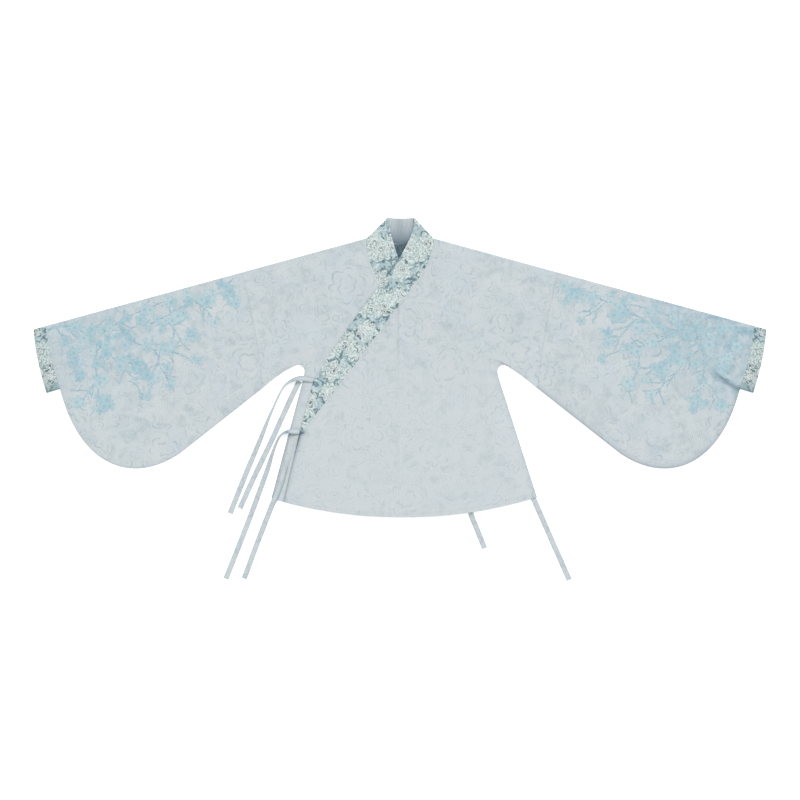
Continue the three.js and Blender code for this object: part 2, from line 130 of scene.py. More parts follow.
# %% Sizes of the cut
MM = 0.001
CLOTH, BAND = 1.0, 1.2  # wall of the cloth, and of the doubled bands
GAP, SLANT_GAP = 0.06, 0.1  # at seams; cloth closes up more than the solids do
BACK, INNER, STRIP_TOP, OUTER = 0.5, 1.8, 2.6, 4.4  # heights of the layers
LAPEL_EDGE_LEVEL = 3.1  # the outer lapel's free edge rests on the strip of the right front
BAND_BACK, BAND_INNER, BAND_OUTER = 0.6, 2.1, 4.5

CENTRE_X = -4
SHOULDER_X, SHOULDER_Y, SHOULDER_FALL = 79, 378.5, 0.2733
SEAM_TOP_X, SEAM_LOW, SEAM_BOW = 372, (323, 26), -5.8
ARMPIT_Y, ARMPIT_RADIUS, ARMPIT_START = 66, 15, math.radians(50)
UNDERARM = (284, 58)
SIDES = {
    "left": {"sign": 1, "armpit_x": 244, "side_x": 229, "hem": (322, -230), "lift": LAPEL_EDGE_LEVEL - INNER},
    "right": {"sign": -1, "armpit_x": 239, "side_x": 224, "hem": (302, -233), "lift": 0},
}
SIDE_TOP_Y = 60
HEM_Y, HEM_CURVE = -277, 4.95e-4
RAMP, LAPEL_RAMP = 36, 40

SLEEVE_CORNER, SLEEVE_ROUND, WRIST = (516, -126), ((628, -204), (753, -158)), (798, 25)
LEAN_SEAM, LEAN_WRIST = 0.18, 0.231
CUFF_TOP_X, CUFF_LOW, CUFF_BOW = (832, 861), (830, 15), 4.5

OUTER_NECK = {
    "sewn": [(79, 378.5), (79, 318), (28, 262), (-4, 222)],
    "free": [(34, 427), (37, 385), (-8, 318), (-50, 265)],
    "sewn_low": [(-4, 222), (-128, 45), (-236, -81)],
    "free_low": [(-50, 265), (-125, 170), (-203, 45)],
    "hem_x": -274,
}
INNER_NECK = {
    "sewn": [(-79, 378.5), (-82, 325), (-42, 248), (-4, 201)],
    "free": [(-29, 427), (-20, 375), (0, 300), (46, 240)],
    "sewn_low": [(-4, 201), (118, 35), (222, -80)],
    "free_low": [(46, 240), (125, 150), (205, 25)],
    "hem_x": 268,
}
BACK_NECK_DIP, BACK_TOP_DIP = 352, 423

# Where section lines start and end; refine() puts more lines between these
FRONT_NECK_STEPS = [0, 0.2, 0.42, 0.62, 0.8, 1]
FRONT_CENTRE = [185, 150, 105, 50, -30, -110, -193, HEM_Y]
BACK_NECK_STEPS = [0, 0.45, 0.8, 1]
BACK_CENTRE = [320, 275, 230, 180, 120, 50, -30, -110, -193, HEM_Y]
SEAM_STEPS = [0, 1 / 3, 2 / 3, 1]
ARMPIT_STEPS = [0, 0.31, 0.65, 1]
SIDE_STEPS = [0, 0.2, 0.4, 0.6, 0.8, 1]
LAPEL_STEPS = [0.03, 0.1, 0.22, 0.36, 0.5, 0.64, 0.78, 0.9, 1]
LAPEL_EDGE_STEPS = [0, 0.25, 0.5, 0.75, 1]
LAPEL_FALL = [0.016, 0.05, 0.12, 0.21, 0.31, 0.42, 0.54, 0.64, 0.72, 0.79, 0.86, 0.93, 1]
print("sleeve seams at", SEAM_TOP_X, "mm, hem at", HEM_Y, "mm")

# %% [markdown]
# Cloth that is laid down is never quite flat. The creases are placed one by one, in sizes of their own: soft
# ridges that run from the armpits towards the collar, down from the side seams and across the wide sleeves,
# and a small tuck by the left cuff. A slow swell lies under them. The back is held by the floor and shows
# them more faintly.

# %% Creases
# Each crease: where it starts and ends, its height and half its width, in millimetres
CREASES = [
    {"start": (252, 82), "end": (128, 172), "height": 1.1, "width": 11},
    {"start": (262, 66), "end": (176, 70), "height": 0.8, "width": 8},
    {"start": (300, 62), "end": (322, 186), "height": 0.9, "width": 12},
    {"start": (-250, 84), "end": (-172, 168), "height": 1.0, "width": 10},
    {"start": (-292, 70), "end": (-330, 170), "height": 0.8, "width": 12},
    {"start": (236, -38), "end": (196, -172), "height": 0.9, "width": 13},
    {"start": (262, -98), "end": (252, -226), "height": 0.8, "width": 9},
    {"start": (60, -60), "end": (36, -238), "height": 0.6, "width": 16},
    {"start": (-96, -120), "end": (-128, -262), "height": 0.7, "width": 12},
    {"start": (-40, 60), "end": (-92, -70), "height": 0.5, "width": 15},
    {"start": (112, 250), "end": (232, 196), "height": 0.6, "width": 14},
    {"start": (-120, 250), "end": (-262, 208), "height": 0.6, "width": 13},
    {"start": (420, 40), "end": (560, -96), "height": 0.9, "width": 15},
    {"start": (600, 30), "end": (700, -128), "height": 0.8, "width": 17},
    {"start": (744, 8), "end": (668, -112), "height": 1.2, "width": 13},
    {"start": (772, -18), "end": (726, -96), "height": 0.9, "width": 9},
    {"start": (392, 196), "end": (520, 120), "height": 0.6, "width": 16},
    {"start": (730, 66), "end": (806, 20), "height": 3.6, "width": 5.5},
    {"start": (726, 52), "end": (800, 4), "height": -1.2, "width": 5.5},
    {"start": (-410, 52), "end": (-540, -66), "height": 0.8, "width": 14},
    {"start": (-590, 10), "end": (-664, -136), "height": 0.9, "width": 16},
    {"start": (-760, 2), "end": (-700, -110), "height": 0.8, "width": 12},
    {"start": (-420, 210), "end": (-560, 148), "height": 0.6, "width": 15},
]
CREASE_BEND, CREASE_RISE, CREASE_FALL = 0.05, 0.3, 0.55  # of its length: its bow, its start and its dying out
SWELL_HEIGHT = 0.45
SWELL_LENGTHS = (310, 190)  # millimetres from crest to crest, across and along
SWELL_WANDER = 0.7  # radians
FOLD_CALM = 26  # a crease dies out over this width beside the folded shoulder
BACK_SHARE = 0.3  # how much of a crease the back shows


def smooth(value):
    value = np.clip(value, 0, 1)
    return value * value * (3 - 2 * value)


def shoulder_y(x):
    return SHOULDER_Y - SHOULDER_FALL * (np.abs(x) - SHOULDER_X)


def hem_y(x):
    return HEM_Y + HEM_CURVE * x * x


def lift(x, y):
    """How far the creases raise the upper cloth at a place, in millimetres."""
    x, y = np.asarray(x, float), np.asarray(y, float)
    across, along = (2 * math.pi / length for length in SWELL_LENGTHS)
    swell = np.sin(x * across + SWELL_WANDER * np.sin(y * along)) * np.cos(y * along + x * across / 3)
    height = SWELL_HEIGHT * (1 + swell)
    for crease in CREASES:
        start, end = np.array(crease["start"], float), np.array(crease["end"], float)
        run = end - start
        length = np.hypot(*run)
        step = ((x - start[0]) * run[0] + (y - start[1]) * run[1]) / length ** 2
        side = ((x - start[0]) * run[1] - (y - start[1]) * run[0]) / length
        side = side + CREASE_BEND * length * np.sin(math.pi * step)  # no crease is quite straight
        taper = smooth(step / CREASE_RISE) * smooth((1 - step) / CREASE_FALL)
        height = height + crease["height"] * taper * np.exp(-(side / crease["width"]) ** 2)
    return height * smooth((shoulder_y(x) - y) / FOLD_CALM)


print("creases", len(CREASES))

# %% [markdown]
# Every piece is a wall of cloth round a grid of points, as in the solids, but on a grid ten times as fine,
# so that it can crease. A second grid, the chart, holds where each point lies on the flat cloth before it
# is folded. The woven and printed patterns follow the chart, and the wall thins towards its rim, as a
# pressed edge does.

# %% Curves and cloth walls
EDGE_THINNING = 0.55  # wall at the rim, as a share of the full wall
SHARP_ANGLE = math.radians(38)
piece_facts = {}  # of each cloth piece: its flat area in square metres, and its number of faces on one side


def bezier(pulls, steps):
    """Points on the curve through the end pulls, for steps from 0 to 1."""
    steps = np.asarray(steps, float)[:, None]
    points = [np.array(pull, float) for pull in pulls]
    while len(points) > 1:
        points = [a + (b - a) * steps for a, b in zip(points, points[1:])]
    return points[0]


def refine(table, parts):
    """The table with parts - 1 even steps put between its values."""
    fine = np.arange((len(table) - 1) * parts + 1) / parts
    return np.interp(fine, np.arange(len(table)), np.array(table, float))


def bowed_line(top, low, bow, steps):
    """A line from top to low whose middle stands out from the body by bow."""
    top, low = np.array(top, float), np.array(low, float)
    along = (low - top) / np.hypot(*(low - top))
    outwards = np.array([-along[1], along[0]]) * np.sign(top[0])
    return bezier([top, (top + low) / 2 + outwards * 2 * bow, low], steps)


def flip(points, sign):
    """The points on the other side of the body where sign is -1."""
    return np.array(points, float) * [sign, 1]


def unfolded(x, y):
    """The chart of the back layers, which hang over the shoulder fold from the front's chart."""
    return np.stack([x, 2 * shoulder_y(x) - y], -1)


def put_object(name, mesh):
    """Links a mesh to the scene as an object at the origin."""
    piece = bpy.data.objects.new(name, mesh)
    bpy.context.scene.collection.objects.link(piece)
    return piece


def cloth(name, rows, chart, wall, ring=False):
    """A closed wall round a grid of points in millimetres. With ring, each row closes on itself."""
    rows = np.dstack([rows[..., :2], np.maximum(rows[..., 2], wall / 2)])  # no crease goes into the table
    down, across = rows.shape[:2]
    row_ends = (rows[:, -1:], rows[:, :1]) if ring else (rows[:, :1], rows[:, -1:])
    wide = np.concatenate([row_ends[0], rows, row_ends[1]], 1)
    tall = np.concatenate([rows[:1], rows, rows[-1:]], 0)
    normal = np.cross(wide[:, 2:] - wide[:, :-2], tall[2:] - tall[:-2])
    normal /= np.linalg.norm(normal, axis=2, keepdims=True)
    half_wall = np.full((down, across, 1), wall / 2)
    half_wall[[0, -1]] *= EDGE_THINNING
    if not ring:
        half_wall[:, [0, -1]] *= EDGE_THINNING
    points = np.concatenate([(rows + side * normal * half_wall).reshape(-1, 3) for side in (1, -1)])

    def faces(i, j, corners):
        corners = [np.stack([i + di, j + dj, np.full_like(i, side)], -1) for di, dj, side in corners]
        return np.stack(corners, 1)

    columns = np.arange(across if ring else across - 1)
    i, j = (grid.ravel() for grid in np.meshgrid(np.arange(down - 1), columns, indexing="ij"))
    first, last = np.zeros_like(columns), np.full_like(columns, down - 1)
    quads = [
        faces(i, j, [(0, 0, 0), (0, 1, 0), (1, 1, 0), (1, 0, 0)]),
        faces(i, j, [(0, 0, 1), (1, 0, 1), (1, 1, 1), (0, 1, 1)]),
        faces(first, columns, [(0, 0, 0), (0, 0, 1), (0, 1, 1), (0, 1, 0)]),
        faces(last, columns, [(0, 0, 0), (0, 1, 0), (0, 1, 1), (0, 0, 1)]),
    ]
    if not ring:
        lines = np.arange(down - 1)
        left, right = np.zeros_like(lines), np.full_like(lines, across - 1)
        quads.append(faces(lines, left, [(0, 0, 0), (1, 0, 0), (1, 0, 1), (0, 0, 1)]))
        quads.append(faces(lines, right, [(0, 0, 0), (0, 0, 1), (1, 0, 1), (1, 0, 0)]))
    side_faces = len(quads[0])
    quads = np.concatenate(quads)
    ids = quads[..., 2] * down * across + quads[..., 0] * across + quads[..., 1] % across
    corner = points[ids]
    volume = np.einsum("ij,ij->i", corner[:, 0], np.cross(corner[:, 1], corner[:, 2])).sum()
    if volume < 0:
        quads, ids = quads[:, ::-1], ids[:, ::-1]

    mesh = bpy.data.meshes.new(name)
    mesh.from_pydata((points * MM).tolist(), [], ids.tolist())
    uv = mesh.uv_layers.new(name="chart")
    uv.data.foreach_set("uv", (chart[quads[..., 0], quads[..., 1]] * MM).ravel())
    mesh.shade_smooth()
    mesh.set_sharp_from_angle(angle=SHARP_ANGLE)
    cell = np.cross(rows[1:, 1:] - rows[:-1, :-1], rows[1:, :-1] - rows[:-1, 1:])
    area = np.linalg.norm(cell, axis=2).sum() / 2
    if ring:
        closing = np.cross(rows[1:, 0] - rows[:-1, -1], rows[1:, -1] - rows[:-1, 0])
        area += np.linalg.norm(closing, axis=1).sum() / 2
    piece_facts[name] = {"area": area * MM * MM, "faces": side_faces}
    print(name, "faces", len(quads), "cloth", round(area * 1e-6, 3), "m2")
    return put_object(name, mesh)


FOLD_TURNS = 7


def fold(edge, outwards, upper, lower, wall):
    """Rows of cloth round a fold whose outermost line is edge, from the upper layer to the lower one."""
    edge = np.atleast_2d(edge)
    upper = np.broadcast_to(upper, len(edge))
    radius = (upper - lower) / 2
    rows = []
    for angle in np.linspace(0, math.pi, FOLD_TURNS):
        reach = radius * math.sin(angle) - radius - wall / 2
        place = edge + np.array(outwards) * reach[:, None]
        share = 1 + (BACK_SHARE - 1) * angle / math.pi
        height = (upper + lower) / 2 + radius * math.cos(angle) + share * lift(*place.T)
        rows.append(np.column_stack([place, height]))
    return np.array(rows)


print("helpers ready")

# %% [markdown]
# Each side of the body is one cut: a front and a back that hang from the folded shoulder. Rows of points
# run from the neckline and the centre seam out to the sleeve seam, round the armpit and down the side. The
# rows are closest together beside a sewn edge, where the seam allowance inside makes a low ridge.

# %% Rows from seam to seam
NEAR = np.array([0, 1.0, 2.6, 4.2, 5.8, 8, 12])  # millimetres from the row's start
FAR = np.array([36, 26, 17, 10, 6, 4.2, 2.6, 1.0, 0])  # and from its end
EVEN_COLUMNS = 46
PARTS = 9  # rows between two section lines
UNDERARM_LINE, SIDE_LINE = 4, 8  # the section lines at the middle of the underarm curve and at the side's top
ALLOWANCE = 5.5  # width of the seam allowance that shows through as a ridge
RIDGE = 0.3


def columns(length):
    """Steps from 0 to 1 along a row, close together at its ends."""
    near = NEAR * min(1, 0.3 * length / NEAR[-1]) / length
    far = 1 - FAR * min(1, 0.45 * length / FAR[0]) / length
    return np.concatenate([near, np.linspace(near[-1], far[0], EVEN_COLUMNS + 2)[1:-1], far])


def ridge(distance):
    """The low ridge of the allowance beside a sewn edge."""
    return RIDGE * (1 - smooth((distance - ALLOWANCE + 1) / 2))


def section(start, end, level, share=1.0, sag=0.0):
    """A row of points; level(x, y, distance from the start, distance to the end) is its height when flat."""
    length = np.hypot(*(end - start))
    step = columns(length)
    place = start + (end - start) * step[:, None]
    place[:, 1] -= 4 * sag * step * (1 - step)
    height = level(*place.T, step * length, (1 - step) * length) + share * lift(*place.T)
    return np.column_stack([place, height])


def body_edge(side):
    """The outer edge of one side: sleeve seam, underarm curve, armpit notch and side seam."""
    seam = bowed_line((SEAM_TOP_X, shoulder_y(SEAM_TOP_X)), SEAM_LOW, SEAM_BOW, refine(SEAM_STEPS, PARTS))
    angle = ARMPIT_START + (math.pi - ARMPIT_START) * refine(ARMPIT_STEPS, PARTS)
    notch = np.column_stack([
        side["armpit_x"] + ARMPIT_RADIUS * np.cos(angle), ARMPIT_Y + ARMPIT_RADIUS * np.sin(angle)])
    pull = 2 * np.array(UNDERARM) - (np.array(SEAM_LOW) + notch[0]) / 2
    under = bezier([SEAM_LOW, pull, notch[0]], np.linspace(0, 1, 2 * PARTS + 1))
    down = refine(SIDE_STEPS, PARTS)[1:]
    side_seam = bezier([(side["side_x"], SIDE_TOP_Y), side["hem"]], down)
    return flip(np.concatenate([seam, under[1:], notch[1:], side_seam]), side["sign"])


def starts(neck_points, centre_heights):
    """Where the rows start: down the neckline, then down the centre seam."""
    heights = refine([neck_points[-1, 1], *centre_heights], PARTS)[1:]
    return np.concatenate([neck_points, np.column_stack([np.full_like(heights, CENTRE_X), heights])])


print("rows on an edge", (len(SEAM_STEPS) + len(ARMPIT_STEPS) + len(SIDE_STEPS) - 1) * PARTS + 1)

# %% [markdown]
# A side of the body is three grids put together: the front from the hem up, the turn over the shoulder
# fold, and the back from there down. Each layer is drawn in a little beside the fold, so that the fold
# stays outermost.

# %% The two sides of the body
def body(name, side, neck, front_level):
    sign = side["sign"]
    edge = body_edge(side)
    front_starts = starts(bezier(neck, refine(FRONT_NECK_STEPS, PARTS)), FRONT_CENTRE)
    neck_y = (SHOULDER_Y + BACK_NECK_DIP) / 2
    back_neck = [(sign * SHOULDER_X, SHOULDER_Y), (sign * SHOULDER_X / 2, neck_y), (CENTRE_X, neck_y)]
    back_starts = starts(bezier(back_neck, refine(BACK_NECK_STEPS, PARTS)), BACK_CENTRE)
    line = np.arange(len(edge)) / PARTS
    down_side = np.clip((line - SIDE_LINE) / (len(SIDE_STEPS) - 1), 0, 1)
    seam_gap = SLANT_GAP * np.clip(UNDERARM_LINE - line, 0, 1)

    def layer(row_starts, share, level_of):
        rows = []
        for k, (start, end) in enumerate(zip(row_starts, edge)):
            start = start + (end - start) / np.hypot(*(end - start)) * GAP
            end = end - [sign * seam_gap[k], 0]
            sag = HEM_CURVE * (end[0] - start[0]) ** 2 * down_side[k] ** 2 / 4
            rows.append(section(start, end, level_of(k), share, sag))
        return np.array(rows)

    def front_level_of(k):
        edge_level = INNER + side["lift"] * down_side[k]
        rise, sleeve_seam = front_level - edge_level, seam_gap[k] / SLANT_GAP
        return lambda x, y, near, far: (
            edge_level + rise * smooth(far / RAMP) + ridge(near) + sleeve_seam * ridge(far))

    front = layer(front_starts, 1, front_level_of)
    back = layer(back_starts, BACK_SHARE, lambda k: lambda x, y, near, far: np.full_like(x, BACK))
    charts = front[..., :2].copy(), unfolded(back[..., 0], back[..., 1])

    outwards = np.array([SHOULDER_FALL * sign, 1]) / math.hypot(1, SHOULDER_FALL)
    turned = fold(front[0, :, :2], outwards, front[0, :, 2], BACK, CLOTH)
    inset = (front[0, :, 2] - BACK) / 2 + CLOTH / 2
    for rows in (front, back):
        depth = (shoulder_y(rows[..., 0]) - rows[..., 1]) * outwards[1]
        drawn_in = np.clip(inset * (1 - depth / FOLD_CALM), 0, None)
        rows[..., :2] -= outwards * drawn_in[..., None]
    turn_chart = np.repeat(charts[0][:1], FOLD_TURNS - 2, axis=0)
    rows = np.concatenate([front[::-1], turned[1:-1], back])
    return cloth(name, rows, np.concatenate([charts[0][::-1], turn_chart, charts[1]]), CLOTH)


# %% [markdown]
# The lapels are wedges sewn to the centre seams. The outer one crosses to the wearer's right, where its
# free edge comes down onto the strip of the right front that shows beside it. The inner one lies hidden
# under the left front.

# %% Lapels
EDGE_LIFT, ROLL, ROLL_REACH = 2.3, 1.7, 16  # how far the edge stands off, and how the cloth rolls beside it
PULL_FADE, PULL_AT_HEM = 28, 0.2  # how far above the corner the tie pulls, and what is left of it at the hem


def outer_lapel_level(x, y):
    """The height of the outer lapel: it comes down to its free edge, whose corner the tie pulls up."""
    (corner_x, corner_y), (end_x, end_y) = OUTER_NECK["free_low"][2], OUTER_NECK["sewn_low"][2]
    hem_x = OUTER_NECK["hem_x"]
    above = end_x + (corner_x - end_x) * (y - end_y) / (corner_y - end_y)
    down = (y - hem_y(hem_x)) / (end_y - hem_y(hem_x))
    edge_x = np.where(y > end_y, above, hem_x + (end_x - hem_x) * down)
    pull_below = PULL_AT_HEM + (1 - PULL_AT_HEM) * np.clip(down, 0, 1) ** 2
    pull = np.where(y > end_y, np.exp(-np.maximum(y - end_y, 0) / PULL_FADE), pull_below)
    inwards = x - edge_x
    level = LAPEL_EDGE_LEVEL + (OUTER - LAPEL_EDGE_LEVEL) * smooth(inwards / LAPEL_RAMP)
    lifted = EDGE_LIFT * smooth(1 - inwards / (3 * ROLL_REACH))
    rolled = ROLL * np.exp(-((inwards - ROLL_REACH) / (0.7 * ROLL_REACH)) ** 2)
    return level + pull * (lifted + rolled)


def lapel(name, neck, sign, level):
    sewn = bezier(neck["sewn_low"], refine(LAPEL_STEPS, PARTS))
    hem_corner = (neck["hem_x"], hem_y(neck["hem_x"]))
    free_edge = bezier([neck["sewn_low"][2], hem_corner], refine(LAPEL_EDGE_STEPS, PARTS)[1:])
    edge = np.concatenate([sewn, free_edge]) - [0, SLANT_GAP]
    top = neck["sewn_low"][0][1]
    fall = top + (HEM_Y - top) * refine(LAPEL_FALL, PARTS)
    rows = []
    for k, (height, end) in enumerate(zip(fall, edge)):
        down_edge = np.clip((k / PARTS - len(LAPEL_STEPS) + 1) / (len(LAPEL_EDGE_STEPS) - 1), 0, 1)
        start = np.array([CENTRE_X + sign * GAP / 2, height])
        sag = HEM_CURVE * (end[0] - start[0]) ** 2 * down_edge ** 2 / 4
        rows.append(section(start, end, lambda x, y, near, far: (
            level(x, y) + ridge(near) + (down_edge == 0) * ridge(far)), 1, sag))
    rows = np.array(rows)
    return cloth(name, rows, rows[..., :2], CLOTH)


pieces = {
    "body_left": body("jacket_body_left", SIDES["left"], OUTER_NECK["sewn"], OUTER),
    "body_right": body("jacket_body_right", SIDES["right"], INNER_NECK["sewn"], INNER),
    "outer_lapel": lapel("jacket_outer_lapel", OUTER_NECK, -1, outer_lapel_level),
    "inner_lapel": lapel("jacket_inner_lapel", INNER_NECK, 1, lambda x, y: np.full_like(x, INNER)),
}

# %% [markdown]
# The collar is one doubled band. It runs up the outer lapel, turns over at the neck, passes behind it and
# comes down the other side. The print shows on its outside, and the plain facing inside it, behind the
# neck.

# %% Collar
ACROSS = np.concatenate([[0, 0.016, 0.05], np.linspace(0.1, 0.9, 13), [0.95, 0.984, 1]])
BAND_CROWN = 0.5  # how far the doubled band puffs up between its edges
COLLAR_WIDTH = 63
COLLAR_TURN_STEP, BACK_BAND_STEP = 0.09, 0.07  # how far along its curves each part of the band starts


def band_rows(sewn, free, level, share):
    """Rows across the band for the points of its sewn edge and of its free edge."""
    place = sewn[:, None] + (free - sewn)[:, None] * ACROSS[:, None]
    height = level(place[..., 0], place[..., 1]) + share * lift(place[..., 0], place[..., 1])
    return np.dstack([place, height + share * BAND_CROWN * (1 - (2 * ACROSS - 1) ** 2)])


def collar():
    def half(neck, sign, level, fold_level):
        upper_steps = refine([COLLAR_TURN_STEP, *FRONT_NECK_STEPS[1:]], PARTS)
        lower_steps = refine(LAPEL_STEPS, PARTS)
        upper, lower = (
            band_rows(bezier(neck["sewn" + part], steps), bezier(neck["free" + part], steps), level, 1)
            for part, steps in (("", upper_steps), ("_low", lower_steps)))
        ends = np.array([neck["sewn"][0], neck["free"][0]], float)
        along = (ends[1] - ends[0]) / np.hypot(*(ends[1] - ends[0]))
        line = ends[0] + (ends[1] - ends[0]) * ACROSS[:, None]
        turned = fold(line, np.array([along[1], -along[0]]) * sign, fold_level, BAND_BACK, BAND)
        return np.concatenate([lower[::-1], upper[::-1], turned])

    outer = half(OUTER_NECK, 1, lambda x, y: outer_lapel_level(x, y) + BAND_OUTER - OUTER, BAND_OUTER)
    inner = half(INNER_NECK, -1, lambda x, y: np.full_like(x, BAND_INNER), BAND_INNER)
    steps = np.linspace(BACK_BAND_STEP, 1 - BACK_BAND_STEP, 26)
    sewn_back = bezier([(SHOULDER_X, SHOULDER_Y), (0, BACK_NECK_DIP), (-SHOULDER_X, SHOULDER_Y)], steps)
    free_back = bezier([OUTER_NECK["free"][0], (3, BACK_TOP_DIP), INNER_NECK["free"][0]], steps)
    back = band_rows(sewn_back, free_back, lambda x, y: np.full_like(x, BAND_BACK), BACK_SHARE)
    rows = np.concatenate([outer, back, inner[::-1]])
    band = cloth("jacket_collar", rows, rows[..., :2], BAND)
    across = np.tile(ACROSS, 2 * len(rows))
    band.data.attributes.new("across", "FLOAT", "POINT").data.foreach_set("value", across)
    return band


pieces["collar"] = collar()

# %% [markdown]
# A pipa sleeve is a flattened tube, folded along the top and seamed underneath, where it swings out in a
# round pouch and comes back up to a narrow wrist. The cuff is a doubled floral band of the same
# construction.

# %% Sleeves and cuffs
RING_STEPS = np.concatenate([[0, 0.012], np.linspace(0.03, 0.97, 58), [0.988, 1]])
SLEEVE_LINES, STRAIGHT_LINES = 14, 4  # section lines of the sleeve, and those along the straight underarm
RINGS_PER_LINE = 6
CLOSE_LINES, CLOSE_RINGS_PER_LINE = 5, 14  # closer rings beside the cuff, where the tuck is


def tube_ring(top, low, bow, upper, lower, wall, swell=lambda place: 0.0):
    """One ring of a flattened tube: its upper layer, the top fold, its lower layer and the lower fold."""
    top, low = np.array(top, float), np.array(low, float)
    upwards = (top - low) / np.hypot(*(top - low))
    top_fold = fold(top, upwards, upper, lower, wall)[:, 0]
    low_fold = fold(low, -upwards, upper, lower, wall)[:, 0]
    place = bowed_line(top_fold[0, :2], low_fold[0, :2], bow, RING_STEPS)
    front = np.column_stack([place, upper + lift(*place.T) + swell(place)])
    back = np.column_stack([place, lower + BACK_SHARE * lift(*place.T)])
    chart = [
        front[::-1, :2], top_fold[1:-1, :2], unfolded(*back[:, :2].T), unfolded(*low_fold[1:-1, :2].T)[::-1],
        unfolded(*front[-1:, :2].T)]
    return np.concatenate([front[::-1], top_fold[1:-1], back, low_fold[1:-1][::-1]]), np.concatenate(chart)


def sleeve(name, sign):
    near_seam = np.array([0, 0.1, 0.3, 0.5, 0.66]) / RINGS_PER_LINE
    wide_part = np.arange(1, (SLEEVE_LINES - CLOSE_LINES) * RINGS_PER_LINE) / RINGS_PER_LINE
    by_cuff = np.linspace(SLEEVE_LINES - CLOSE_LINES, SLEEVE_LINES, CLOSE_LINES * CLOSE_RINGS_PER_LINE + 1)
    line = np.concatenate([near_seam, wide_part, by_cuff])
    straight = bezier([SEAM_LOW, SLEEVE_CORNER], np.clip(line / STRAIGHT_LINES, 0, 1))
    pouch_steps = (line - STRAIGHT_LINES) / (SLEEVE_LINES - STRAIGHT_LINES)
    pouch = bezier([SLEEVE_CORNER, *SLEEVE_ROUND, WRIST], np.clip(pouch_steps, 0, 1))
    low = np.where(line[:, None] < STRAIGHT_LINES, straight, pouch)
    step = line / SLEEVE_LINES
    lean = LEAN_SEAM + (LEAN_WRIST - LEAN_SEAM) * step
    top_x = (low[:, 0] + lean * (shoulder_y(0) - low[:, 1])) / (1 + lean * SHOULDER_FALL)
    top = np.column_stack([top_x, shoulder_y(top_x)])
    rings = []
    for k in range(len(line)):
        bow = SEAM_BOW + (CUFF_BOW - SEAM_BOW) * step[k]
        from_seam = line[k] * np.hypot(*(np.array(SLEEVE_CORNER) - SEAM_LOW)) / STRAIGHT_LINES
        rings.append(tube_ring(
            *flip([top[k], low[k]], sign), bow, INNER, BACK, CLOTH, lambda place: ridge(from_seam)))
    rows, chart = (np.array(part) for part in zip(*rings))
    return cloth(name, rows, chart, CLOTH, ring=True)


def cuff(name, sign):
    inner = np.array([(CUFF_TOP_X[0], shoulder_y(CUFF_TOP_X[0])), WRIST])
    outer = np.array([(CUFF_TOP_X[1], shoulder_y(CUFF_TOP_X[1])), CUFF_LOW])
    width = np.hypot(*(outer - inner)[0])
    start = 1.5 * SLANT_GAP / width
    steps = start + (1 - start) * np.concatenate([[0, 0.03, 0.1], np.linspace(0.2, 0.8, 6), [0.9, 0.97, 1]])
    rings = []
    for step in steps:
        crown = BAND_CROWN * (1 - (2 * step - 1) ** 2)
        ends = flip(inner + (outer - inner) * step, sign)
        rings.append(tube_ring(*ends, CUFF_BOW, BAND_INNER, BAND_BACK, BAND, lambda place: crown)[0])
    rows = np.array(rings)
    closed = np.concatenate([rows[0], rows[0, :1]])
    along = np.concatenate([[0], np.cumsum(np.linalg.norm(np.diff(closed, axis=0), axis=1))])
    chart = np.stack(np.broadcast_arrays(along, steps[:, None] * width), -1)
    return cloth(name, rows, chart, BAND, ring=True)


for side_name, sign in (("left", 1), ("right", -1)):
    pieces["sleeve_" + side_name] = sleeve("jacket_sleeve_" + side_name, sign)
    pieces["cuff_" + side_name] = cuff("jacket_cuff_" + side_name, sign)

# %% [markdown]
# The ties are straps of the jacket's own cloth, turned and pressed flat. Where they leave the lapel two of
# them twist onto their edges before they lie down. Their routes are those of the solids: x and y, the
# height of what they lie on, and their twist in degrees.

# %% Ties
TIE_WIDTH, TIE_WALL = 13, 0.9
ON_BACK = CLOTH + GAP
TIE_ACROSS = np.array([-0.5, -0.44, -0.2, 0, 0.2, 0.44, 0.5])
SECTIONS_PER_STEP = 10
TIES = {
    "tie_outer_upper": [
        (-204.2, 45, STRIP_TOP, 0), (-224, 49, STRIP_TOP, 14), (-243, 48, STRIP_TOP, 40), (-266, 37, 0, 64),
        (-279, 20, 0, 68), (-295, -14, 0, 65), (-310, -48, 0, 52), (-328, -94, 0, 30), (-364, -180, 0, 6),
        (-399, -268, 0, 0)],
    "tie_side_upper": [
        (-236.5, 43, 0, 0), (-262, -10, 0, 0), (-304, -102, 0, 0), (-341, -179, 0, 0), (-376, -256, 0, 0)],
    "tie_outer_lower": [
        (-236.4, -75, 4.2, 0), (-250, -75, 3.2, 30), (-265, -76, STRIP_TOP, 56), (-280, -84, 0.8, 66),
        (-290, -102, 0, 62), (-301, -132, 0, 48), (-314.5, -174, 0, 22), (-359.5, -296, 0, 0),
        (-409, -421.5, 0, 0)],
    "tie_side_lower": [
        (-254, -97, STRIP_TOP, 0), (-267, -150, STRIP_TOP, 0), (-278, -193, STRIP_TOP, 0),
        (-291, -229, STRIP_TOP, 0), (-297.5, -242, STRIP_TOP, 0), (-309.5, -271, 0, 0), (-338, -345, 0, 0),
        (-366, -421, 0, 0)],
    "tie_inner_lapel": [
        (213, -98, STRIP_TOP, 0), (190, -150, STRIP_TOP, 0), (167, -205, STRIP_TOP, 0),
        (162, -245, STRIP_TOP, 0), (168, -272, STRIP_TOP, 0), (178, -298, 0, 0), (199, -350, 0, 0)],
    "tie_inner_side": [
        (249, -78, ON_BACK, 0), (276, -150, ON_BACK, 0), (297, -198, ON_BACK, 0), (314, -234, ON_BACK, 0),
        (326, -261, 0, 0), (362, -343, 0, 0), (398, -424.4, 0, 0)],
}
tie_lengths = {}


